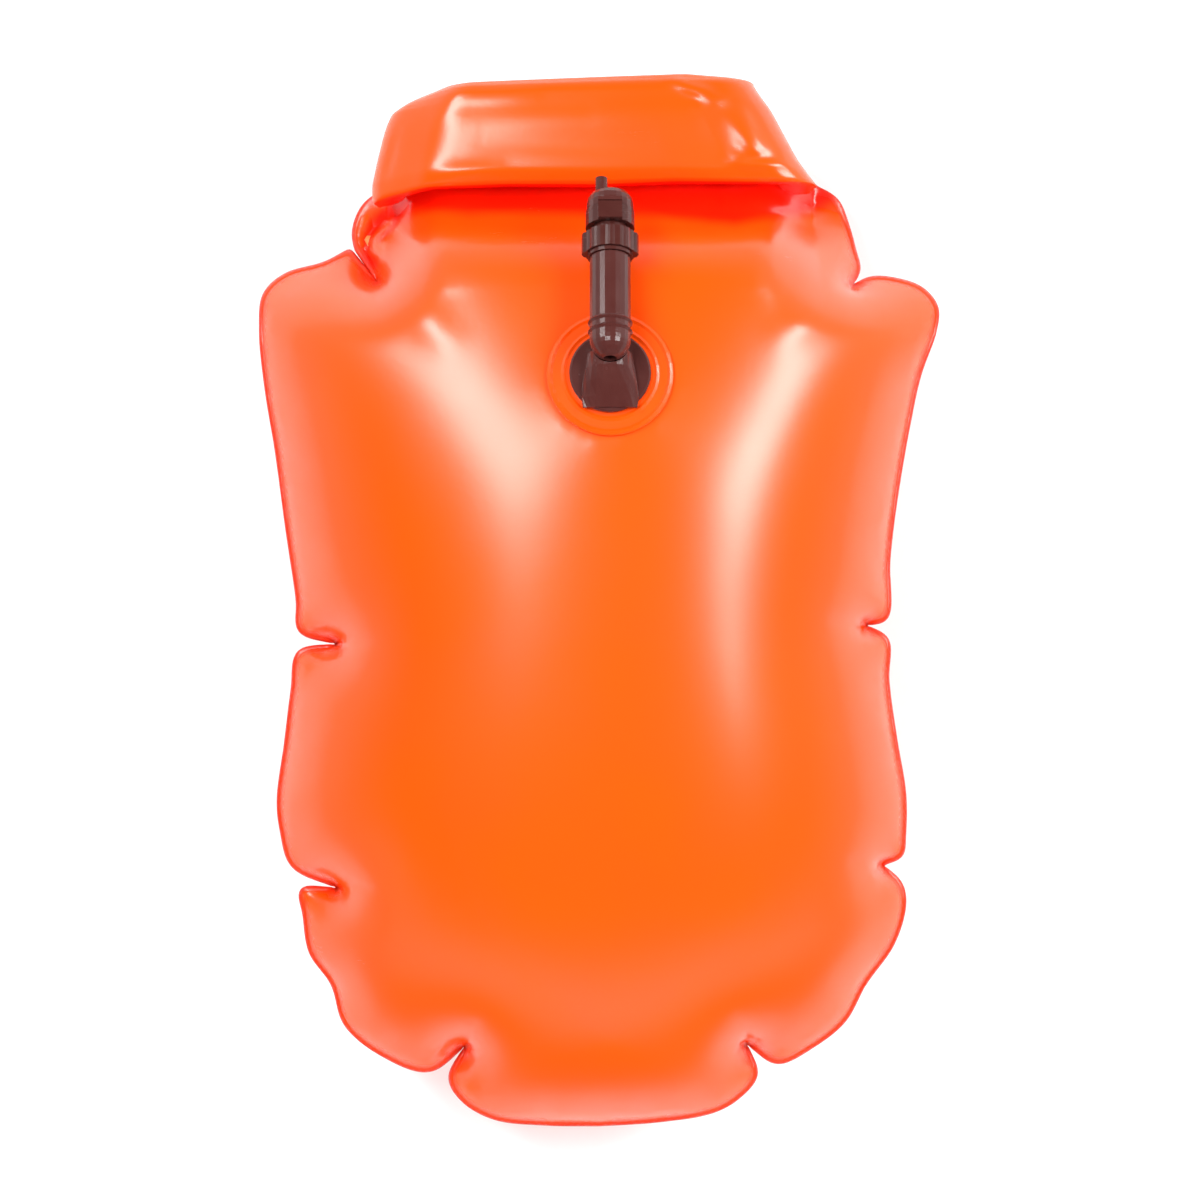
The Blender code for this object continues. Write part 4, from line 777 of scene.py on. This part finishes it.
def blown_films(flat, faces, gap):
    """Heights of the front film, the rear film and the weld, and each point's share of the rise."""
    x, y = flat[:, 0], flat[:, 1]
    held = gap < WELD_HELD
    share = rise_of(film_at_rest(flat, faces, held))
    below = np.maximum(NECK_PINCH_AT - y, 0) / NECK_PINCH_REACH
    share = share * (1 - NECK_PINCH * np.exp(-(below**2)))
    weld = WELD_HEIGHT - neck_drop(x, y)
    front = weld + FRONT_RISE * share
    # Round the valve the film is drawn to the plane of the valve's flange
    over = np.hypot(x - VALVE_PLACE[0], y - VALVE_PLACE[1]) < VALVE_FLAT
    seat = VALVE_PLANE - (y - VALVE_PLACE[1]) * VALVE_SLOPE
    front = front + film_at_rest(flat, faces, held | over, np.where(over, seat - front, 0))
    # The rear film rests on the floor, with a soft bend where it leaves it
    rear = weld - REAR_DROP * share
    rear = FLOOR_SOFTNESS * np.logaddexp(0, (rear - FILM) / FLOOR_SOFTNESS) + FILM
    rear = np.minimum(rear, weld - LEAST_GAP)
    return front, rear, weld, share


def slack_rim(x, y, gap):
    """Height that the hanging, waving weld adds, and what the puckered film inside it adds."""
    waves = rim_waves(x, y)
    flange = 1 - smoothstep(gap / WELD_BAND)
    slack = np.exp(-((gap / RIM_REACH) ** 2))
    calm_neck = 1 - smoothstep((y - NECK_CALM_FROM) / NECK_CALM_REACH)
    hang = (waves * FLANGE_WAVE - FLANGE_HANG) * flange * (NECK_HANG + (1 - NECK_HANG) * calm_neck)
    pucker = waves * slack * (1 - flange) * smoothstep(gap / RIM_REACH) * RIM_PUCKER
    return hang, pucker


def build_bag(finish, lining):
    """The two outer films, welded at the edge, and the dry sack's own two films between them."""
    flat, faces, gap = pattern()
    x, y = flat[:, 0], flat[:, 1]
    front, rear, weld, share = blown_films(flat, faces, gap)
    hang, pucker = slack_rim(x, y, gap)
    front = front + hang + pucker + grooved(x, y, BODY_CREASES)
    rear = rear + hang
    # Painted shade along the weld band
    weld_shade = 1 - smoothstep((gap - WELD_SHADE_FROM) / WELD_SHADE_FADE)
    # Painted red shade under the roll and along the left creases
    shade = smoothstep((y - np.interp(x, *zip(*SHADE_EDGE)) + SHADE_LEAD) / SHADE_FADE)
    shade = np.maximum(shade, grooved(x, y, SHADE_CREASES)).clip(0, 1)
    for name, height, node, order in (
        ("front_film", front, "front_skin", 1), ("rear_film", rear, "rear_skin", -1),
    ):
        piece = add_piece(name, np.column_stack([x, y, height]), faces[:, ::order], finish)
        add_mask(piece, "weld", weld_shade)
        add_mask(piece, "painted_shade", shade)
        round_off(piece).boundary_smooth = "PRESERVE_CORNERS"
        thicken(piece, FILM, -1)
        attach(piece, "bag")
        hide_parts(node)
    lined = (gap > LINER_INSET) & (y < LINER_TOP)
    lined_faces = faces[lined[faces].all(1)]
    for name, side in (("liner_front", 1), ("liner_rear", -1)):
        height = weld + side * (LINER_GAP / 2 + LINER_RISE * share)
        piece = add_piece(name + "_film", np.column_stack([x, y, height]), lined_faces[:, ::side], lining)
        drop_loose_points(piece)
        thicken(piece, LINER_FILM, 0)
        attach(piece, "bag")
        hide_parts(name)


# Rolled mouth

ROLL_HALF_HEIGHT = 0.0275
ROLL_HALF_THICKNESS = 0.0105
ROLL_OVER_WELD = 0.0030
ROLL_CENTRE_Y = BAG_HALF_LENGTH - ROLL_HALF_HEIGHT
ROLL_CENTRE_Z = WELD_HEIGHT + ROLL_OVER_WELD + ROLL_HALF_THICKNESS
ROLL_CORE_HALF_HEIGHT = 0.0205
ROLL_CORE_HALF_THICKNESS = 0.0030
# The spiral: its first and last turn, the turn where it has its full size, and how square it is
ROLL_FIRST_TURN = 0.26
ROLL_TURNS = 2.75
ROLL_FULL_TURN = 0.5
ROLL_ROUNDNESS = 0.62
ROLL_CORE_ROUNDNESS = 0.4
# Its tail, from the neck's weld, as (across, behind the roll)
ROLL_TAIL = ((-0.0100, 0.0030), (-0.0040, 0.0014))
# The turn where the outer layer, which has the creases, gives way to the inner ones
ROLL_OUTER_TURN = 1.35
ROLL_OUTER_FADE = 0.3
ROLL_FILM = 0.0009
ROLL_POINTS = 60
ROLL_STEP = 0.0021
ROLL_BEND_STEP = 0.6 * ROLL_STEP
ROLL_STRAIGHT_HALF = 0.066
ROLL_CORE_KEPT = 0.0105
CREASE_SKIP = 2
NO_BEND = 1.0
BEND_SHARE = 0.8
# How far the folds lie in from the widest, and their slant, on the right and the left
FOLD_IN = {1: 0.0082, -1: 0.0053}
FOLD_SLANT = {1: 0.530, -1: 0.30}
FOLD_FLATNESS = {1: 0.85, -1: 0.0}
# The middle of the roll's path on each side: straight lengths, and bends as (angle, radius),
# where a radius of nothing is a sharp crease
ROLL_PATH = {
    1: (0.0780, (math.radians(95), 0.0120), 0.0211),
    -1: (0.0700, (math.radians(38), 0.0), 0.0256, (math.radians(57), 0.0060), 0.0130),
}
# Upper and lower edge of the roll, by the place across the bag
ROLL_TOP = (
    (-0.110, 0.2130), (-0.096, 0.2165), (-0.066, 0.2245), (0.037, 0.2285), (0.070, 0.2260), (0.10, 0.2240),
)
ROLL_BOTTOM = (
    (-0.106, 0.1710), (-0.092, 0.1755), (-0.075, 0.1780), (-0.040, 0.1792),
    (0.0, 0.1790), (0.032, 0.1805), (0.10, 0.1805),
)
# Front of the outer layer: how far it stands out, from the lower edge to the upper
ROLL_FACE = (
    (-0.0275, 0.0000), (-0.0270, 0.0045), (-0.0245, 0.0078), (-0.0190, 0.0102), (-0.0135, 0.0106),
    (-0.0050, 0.0112), (0.0045, 0.0120), (0.0058, 0.0108), (0.0080, 0.0111), (0.0190, 0.0104),
    (0.0235, 0.0088), (0.0265, 0.0055), (0.0275, 0.0000),
)
ROLL_BOW = 0.25
# Painted red shade on the roll's underside: from how far down, and how far out, it fades in
ROLL_SHADE_LOW, ROLL_SHADE_LOW_FADE = 0.018, 0.009
ROLL_SHADE_OUT, ROLL_SHADE_OUT_FADE = 0.004, 0.006
# Soft creases of the rolled film, as (x0, y0, x1, y1, rise, half width)
ROLL_CREASES = (
    (-0.066, 0.2230, 0.062, 0.2268, -0.0006, 0.0010),
    (0.000, 0.2112, 0.064, 0.2125, 0.0006, 0.0030),
    (0.0315, 0.2243, 0.0518, 0.2157, 0.0020, 0.0032),
    (0.0518, 0.2157, 0.0388, 0.2100, 0.0014, 0.0026),
    (0.0561, 0.2040, 0.0690, 0.1960, 0.0020, 0.0032),
    (0.0690, 0.1960, 0.0561, 0.1900, 0.0014, 0.0026),
    (0.0574, 0.1885, 0.0807, 0.1885, 0.0009, 0.0012),
    (-0.074, 0.1835, -0.046, 0.1855, 0.0012, 0.0042),
    (-0.062, 0.2165, -0.030, 0.2180, 0.0008, 0.0040),
    (-0.050, 0.1985, 0.020, 0.1965, -0.0007, 0.0050),
    (-0.090, 0.2080, -0.096, 0.1830, -0.0008, 0.0035),
)


def roll_section():
    """The spiral as (across, out), from the tail at the neck's weld in to the core."""
    points = [(across, -ROLL_HALF_THICKNESS - behind) for across, behind in ROLL_TAIL]
    count = round((ROLL_TURNS - ROLL_FIRST_TURN) * ROLL_POINTS)
    for step in range(count + 1):
        turn = ROLL_FIRST_TURN + step / ROLL_POINTS
        left = (ROLL_TURNS - turn) / (ROLL_TURNS - ROLL_FULL_TURN)
        height = ROLL_CORE_HALF_HEIGHT + (ROLL_HALF_HEIGHT - ROLL_CORE_HALF_HEIGHT) * left
        thick = ROLL_CORE_HALF_THICKNESS + (ROLL_HALF_THICKNESS - ROLL_CORE_HALF_THICKNESS) * left
        power = ROLL_CORE_ROUNDNESS + (ROLL_ROUNDNESS - ROLL_CORE_ROUNDNESS) * left
        cosine, sine = math.cos(2 * math.pi * turn), math.sin(2 * math.pi * turn)
        across = -height * math.copysign(abs(cosine) ** power, cosine)
        out = -thick * math.copysign(abs(sine) ** power, sine)
        points.append((across, out))
    return np.array(points)


def roll_way(side):
    """Stations along one side of the roll: place (x, z), angle and radius of the bend there."""
    x, z, angle, rows, skipped = 0.0, ROLL_CENTRE_Z, 0.0, [], 0
    for leg in ROLL_PATH[side]:
        turn, radius = leg if isinstance(leg, tuple) else (0.0, NO_BEND)
        if not radius:
            # The stations that a sharp crease would cross are left out on both its sides
            del rows[-CREASE_SKIP:]
            rows.append((x, z, angle + turn / 2, NO_BEND))
            angle += turn
            skipped = CREASE_SKIP
            continue
        length = turn * radius if turn else leg
        count = max(2, math.ceil(length / (ROLL_BEND_STEP if turn else ROLL_STEP)))
        for step in range(count):
            if step >= skipped:
                rows.append((x, z, angle, radius))
            share = turn / count
            chord = 2 * radius * math.sin(share / 2) if turn else length / count
            x += chord * math.cos(angle + share / 2)
            z -= chord * math.sin(angle + share / 2)
            angle += share
        skipped = 0
    rows.append((x, z, angle, NO_BEND))
    return rows


def edge_reach(edge, here):
    """How far an edge of the roll lies from its middle line, at places across the bag."""
    return np.interp(here, *zip(*edge)) - ROLL_CENTRE_Y


def roll_row(section, outer, side, x, z, angle, radius):
    """One station's points: the spiral, fitted to the roll's edges and face, and creased."""
    across, out = section[:, 0], section[:, 1]
    span = np.clip(x / ROLL_STRAIGHT_HALF, 0, 1)
    plump = np.interp(across, *zip(*ROLL_FACE))
    shift = -(FOLD_IN[side] + FOLD_SLANT[side] * across + FOLD_FLATNESS[side] * plump) * span
    depth = np.maximum(out, -BEND_SHARE * radius) if radius < NO_BEND else out
    here = side * (x + depth * math.sin(angle) + shift)
    reach = np.where(across > 0, edge_reach(ROLL_TOP, here), -edge_reach(ROLL_BOTTOM, here))
    stretch = (reach - ROLL_CORE_KEPT) / (ROLL_HALF_HEIGHT - ROLL_CORE_KEPT)
    past = np.maximum(np.abs(across) - ROLL_CORE_KEPT, 0)
    y = ROLL_CENTRE_Y + np.sign(across) * (np.minimum(np.abs(across), ROLL_CORE_KEPT) + past * stretch)
    face = plump * (1 - ROLL_BOW * span**2)
    front = outer * (out > 0)
    depth = depth + (face - depth) * front + grooved(here, y, ROLL_CREASES) * front
    return np.column_stack([
        side * (x + depth * math.sin(angle) + shift), y, z + depth * math.cos(angle),
    ])


def build_roll(finish):
    """The rolled mouth: a spiral of film, bent back at both sides."""
    section = roll_section()
    width = len(section)
    turns = ROLL_FIRST_TURN + (np.arange(width) - len(ROLL_TAIL)) / ROLL_POINTS
    outer = np.clip((ROLL_OUTER_TURN - turns) / ROLL_OUTER_FADE, 0, 1)
    stations = [(-1, *row) for row in reversed(roll_way(-1)[1:])] + [(1, *row) for row in roll_way(1)]
    rows = [roll_row(section, outer, *station) for station in stations]
    faces = [
        (r * width + c, (r + 1) * width + c, (r + 1) * width + c + 1, r * width + c + 1)
        for r in range(len(rows) - 1) for c in range(width - 1)
    ]
    piece = add_piece("rolled_mouth", np.vstack(rows), faces, finish)
    # Painted red shade on the lower, inner side of the roll
    low = smoothstep((-section[:, 0] - ROLL_SHADE_LOW) / ROLL_SHADE_LOW_FADE)
    inner = np.clip((ROLL_SHADE_OUT - section[:, 1]) / ROLL_SHADE_OUT_FADE, 0, 1)
    add_mask(piece, "painted_shade", np.tile(low * inner, len(rows)))
    thicken(piece, ROLL_FILM, 0)
    round_off(piece)
    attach(piece, "bag")
    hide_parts("roll_top")


# Webbing behind the neck, from the roll's ends to the buckle

STRAP_HALF_WIDTH = 0.010
STRAP_THICKNESS = 0.0014
STRAP_RIBS = 8
STRAP_RIB_POINTS = 4
STRAP_RIB_DEPTH = 0.12
# The thicker selvedge: its rise, and the share of the half width where it starts
SELVEDGE_RISE = 0.10
SELVEDGE_FROM = 0.84
SELVEDGE_FADE = 0.06
STRAP_SQUARENESS = 16
STRAP_SIDE_FLATNESS = 0.9
STRAP_HIDDEN_LENGTH = 0.018
STRAP_HIDDEN_STEPS = 4
STRAP_TURN_RADIUS = 0.009
STRAP_TURN_STEPS = 12
STRAP_RETURN_LENGTH = 0.014
STRAP_CORNER = 0.4 * STRAP_THICKNESS
STRAP_GAP = 0.0003
# How far the webbing runs past the bar before its layers close up, and over what length they do
STRAP_PAST_BAR = 0.0045
STRAP_CLOSING = 3
CORE_TURN_RADIUS = 0.024
CORE_TURN_ANGLE = math.radians(95)
CORE_TAIL = 0.008
# How far in the strap's hidden end lies, and its slant, as the roll's solid has them
CORE_IN = {1: 0.0208, -1: 0.0053}
CORE_SLANT = {1: 0.658, -1: 0.32}
BUCKLE_MOUTH = 0.008
BUCKLE_GAP = 0.0004
BUCKLE_HALF_THICKNESS = 0.0045
PLUG_BASE_LENGTH = 0.0105
SOCKET_LENGTH = 0.030
BAR_WIDTH = 0.0026
# Distance of each strap's bar from the buckle's middle
BAR_PLACE = {
    1: BUCKLE_MOUTH + BUCKLE_GAP + PLUG_BASE_LENGTH - BAR_WIDTH / 2,
    -1: SOCKET_LENGTH - BUCKLE_MOUTH - BAR_WIDTH / 2,
}
RING_WIRE_RADIUS = 0.0015
RING_FROM_SOCKET = 0.028
RING_PLACE = SOCKET_LENGTH - BUCKLE_MOUTH + RING_FROM_SOCKET
# A stitch's half length, half width and half height
STITCH = (0.0011, 0.00028, 0.00022)
STITCH_STEP = 0.0027
STITCH_BOX = (0.0100, 0.0140)


def core_line(along):
    """Place (x, z) in the middle of the roll, and the outward normal there."""
    past = along - ROLL_STRAIGHT_HALF
    angle = np.clip(past / CORE_TURN_RADIUS, 0, CORE_TURN_ANGLE)
    tail = max(past - CORE_TURN_RADIUS * CORE_TURN_ANGLE, 0)
    sine, cosine = math.sin(angle), math.cos(angle)
    x = min(along, ROLL_STRAIGHT_HALF) + CORE_TURN_RADIUS * sine + tail * cosine
    z = ROLL_CENTRE_Z - CORE_TURN_RADIUS * (1 - cosine) - tail * sine
    return np.array([x, z]), np.array([sine, cosine])


def strap_path(side):
    """Points (x, z) out of the core, round to level, in to the bar and back; how many of them
    slant with the roll's end, and the height of the level run."""
    half = ROLL_STRAIGHT_HALF + CORE_TURN_RADIUS * CORE_TURN_ANGLE + CORE_TAIL
    points = [
        core_line(half - STRAP_HIDDEN_LENGTH * k / STRAP_HIDDEN_STEPS)[0]
        for k in range(STRAP_HIDDEN_STEPS, -1, -1)
    ]
    end, normal = core_line(half)
    centre = end - normal * STRAP_TURN_RADIUS
    first = math.atan2(normal[1], normal[0])
    for k in range(1, STRAP_TURN_STEPS + 1):
        angle = first - (math.pi / 2 + first) * k / STRAP_TURN_STEPS
        points.append(centre + STRAP_TURN_RADIUS * np.array([math.cos(angle), math.sin(angle)]))
    slanted = len(points)
    level = end[1] - STRAP_TURN_RADIUS * (1 + math.cos(CORE_TURN_ANGLE))
    clear = STRAP_GAP + STRAP_THICKNESS / 2
    wrap = BUCKLE_HALF_THICKNESS / 2 + clear
    near = BAR_PLACE[side] - BAR_WIDTH / 2 - clear
    past = BAR_PLACE[side] + BAR_WIDTH / 2 + STRAP_PAST_BAR
    closed = past + STRAP_CLOSING * wrap
    doubled = level + STRAP_THICKNESS + STRAP_GAP
    places = [
        (closed, level), (past, level - wrap), (near + STRAP_CORNER, level - wrap),
        (near, level - wrap + STRAP_CORNER), (near, level + wrap - STRAP_CORNER),
        (near + STRAP_CORNER, level + wrap), (past, level + wrap), (closed, doubled),
    ]
    if side < 0:
        over = level + 2 * (clear + RING_WIRE_RADIUS)
        reach = RING_WIRE_RADIUS + STRAP_THICKNESS
        places += [
            (RING_PLACE - 2 * reach, doubled), (RING_PLACE - reach / 2, over),
            (RING_PLACE + reach / 2, over), (RING_PLACE + 2 * reach, doubled),
        ]
    places.append((places[-1][0] + STRAP_RETURN_LENGTH, doubled))
    return np.vstack([points, places]), slanted, level


def stitches(middle):
    """Middles and directions of the stitches of a boxed cross, flat on the strap."""
    length, width = STITCH_BOX
    corners = [np.array(c) * (length / 2, width / 2) for c in ((-1, -1), (1, -1), (1, 1), (-1, 1))]
    lines = list(zip(corners, corners[1:] + corners[:1]))
    lines += [(corners[0], corners[2]), (corners[1], corners[3])]
    for a, b in lines:
        count = max(2, round(np.linalg.norm(b - a) / STITCH_STEP))
        for k in range(count):
            yield middle + a + (b - a) * (k + 0.5) / count, (b - a) / np.linalg.norm(b - a)


def strap_section():
    """Ribbed cross-section as (across, out): one face, then back along the other."""
    share = np.linspace(-1, 1, STRAP_RIBS * STRAP_RIB_POINTS + 1)
    rib = 1 - STRAP_RIB_DEPTH + STRAP_RIB_DEPTH * np.abs(np.cos(math.pi * STRAP_RIBS * share / 2))
    selvedge = 1 + SELVEDGE_RISE * smoothstep((np.abs(share) - SELVEDGE_FROM) / SELVEDGE_FADE)
    side = np.sqrt(1 - np.abs(share) ** STRAP_SQUARENESS * STRAP_SIDE_FLATNESS)
    high = STRAP_THICKNESS / 2 * rib * selvedge * side
    return np.concatenate([share, share[::-1]]) * STRAP_HALF_WIDTH, np.concatenate([high, -high[::-1]])


def normals_of(path):
    """Unit normals of an open line, each between those of its two legs."""
    steps = np.diff(path, axis=0)
    steps /= np.linalg.norm(steps, axis=1)[:, None]
    way = np.vstack([steps[:1], steps[:-1] + steps[1:], steps[-1:]])
    way /= np.linalg.norm(way, axis=1)[:, None]
    return np.column_stack([-way[:, 1], way[:, 0]])


def stitch_shape():
    """A small ball: its points, and its faces."""
    ball = bmesh.new()
    bmesh.ops.create_icosphere(ball, subdivisions=2, radius=1.0)
    bead = np.array([tuple(v.co) for v in ball.verts])
    faces = [tuple(v.index for v in face.verts) for face in ball.faces]
    ball.free()
    return bead, faces


def build_strap(name, side, finish):
    """One length of webbing, sewn back on itself with a boxed cross on both faces."""
    path, slanted, level = strap_path(side)
    across, out = strap_section()
    points = []
    for k, (place, up) in enumerate(zip(path, normals_of(path))):
        shift = -(CORE_IN[side] + CORE_SLANT[side] * across) if k < slanted else 0 * across
        points += zip(side * (place[0] + up[0] * out + shift), ROLL_CENTRE_Y + across, place[1] + up[1] * out)
    faces = [face[::side] for face in hose_faces(len(path), len(across))]
    bead, bead_faces = stitch_shape()
    middle = np.array([path[-1][0] - STRAP_RETURN_LENGTH / 2, 0.0])
    for face_z in (level - STRAP_THICKNESS / 2, path[-1][1] + STRAP_THICKNESS / 2):
        for place, direction in stitches(middle):
            first = len(points)
            cross = np.array([-direction[1], direction[0]])
            flat = place + bead[:, :1] * STITCH[0] * direction + bead[:, 1:2] * STITCH[1] * cross
            points += zip(side * flat[:, 0], ROLL_CENTRE_Y + flat[:, 1], face_z + bead[:, 2] * STITCH[2])
            faces += [tuple(first + i for i in face)[::side] for face in bead_faces]
    piece = add_piece(name + "_strap", points, faces, finish)
    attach(piece, "bag")
    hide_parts(name)
    if side > 0:
        outer = float(max(abs(p[0]) for p in points))
        inner = float(min(abs(p[0]) for p in points))
        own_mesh(piece)


# Return spring between the valve's ledge and the mouthpiece's roof

SPRING_RADIUS = 0.0040
SPRING_WIRE_RADIUS = 0.0003
SPRING_TURNS = 6
SPRING_CLOSED_TURNS = 0.9
SPRING_POINTS_PER_TURN = 24
SPRING_WIRE_SIDES = 8
# Its ends along the valve's tube, from the tube's pivot
SPRING_LOW = 0.03905
SPRING_HIGH = 0.05620


def build_spring(finish):
    """A coil with closed ends, carried on the valve's tube."""
    joints = {joint["name"]: joint for joint in frame["record"]["behaviour"]["joints"]}
    twist = joints["lock_ring_twist"]
    pivot, axis = np.array(twist["pos_m"]), np.array(twist["axis"])
    side = np.array([1.0, 0.0, 0.0])
    third = np.cross(axis, side)
    count = SPRING_TURNS * SPRING_POINTS_PER_TURN
    turned = np.linspace(0, SPRING_TURNS, count + 1)
    closed = 2 * SPRING_WIRE_RADIUS
    length = SPRING_HIGH - SPRING_LOW - 2 * SPRING_WIRE_RADIUS
    height = np.interp(
        turned,
        [0, SPRING_CLOSED_TURNS, SPRING_TURNS - SPRING_CLOSED_TURNS, SPRING_TURNS],
        [0, closed, length - closed, length],
    )
    low = SPRING_LOW + SPRING_WIRE_RADIUS
    points = []
    for turn, rise in zip(turned, height):
        aside = math.cos(2 * math.pi * turn) * side + math.sin(2 * math.pi * turn) * third
        middle = pivot + axis * (low + rise) + SPRING_RADIUS * aside
        for k in range(SPRING_WIRE_SIDES):
            angle = 2 * math.pi * k / SPRING_WIRE_SIDES
            points.append(middle + SPRING_WIRE_RADIUS * (math.cos(angle) * aside + math.sin(angle) * axis))
    faces = hose_faces(count + 1, SPRING_WIRE_SIDES)
    piece = add_piece("return_spring_coil", points, faces, finish)
    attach(piece, "tube")
    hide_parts("return_spring")
    tuple(axis)
    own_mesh(piece)


# CAD nodes that keep their shape


NODE_SLOTS = {
    "orange_film": ("roll_top", "front_skin", "rear_skin", "valve_flange"),
    "liner_film": ("liner_front", "liner_rear"),
    "black_rubber": ("valve_boot", "valve_tube", "dust_cap", "poppet_seal"),
    "black_plastic": (
        "stiffener_front", "stiffener_rear", "valve_housing", "lock_ring",
        "mouthpiece", "poppet", "buckle_female", "buckle_male", "prong_left", "prong_right",
    ),
    "webbing": ("webbing_left", "webbing_right"),
    "steel": ("d_ring", "return_spring"),
}


def dress_nodes(finishes):
    """Gives each CAD node its finish."""
    for slot, names in NODE_SLOTS.items():
        for name in names:
            for place in frame["nodes"][name].material_slots:
                place.material = finishes[slot]


build_camera()
build_studio()
build_floor()
build_lights()
finishes = build_finishes()
build_bag(finishes["orange_film"], finishes["liner_film"])
build_roll(finishes["orange_film"])
build_strap("webbing_right", 1, finishes["webbing"])
build_strap("webbing_left", -1, finishes["webbing"])
build_spring(finishes["steel"])
dress_nodes(finishes)
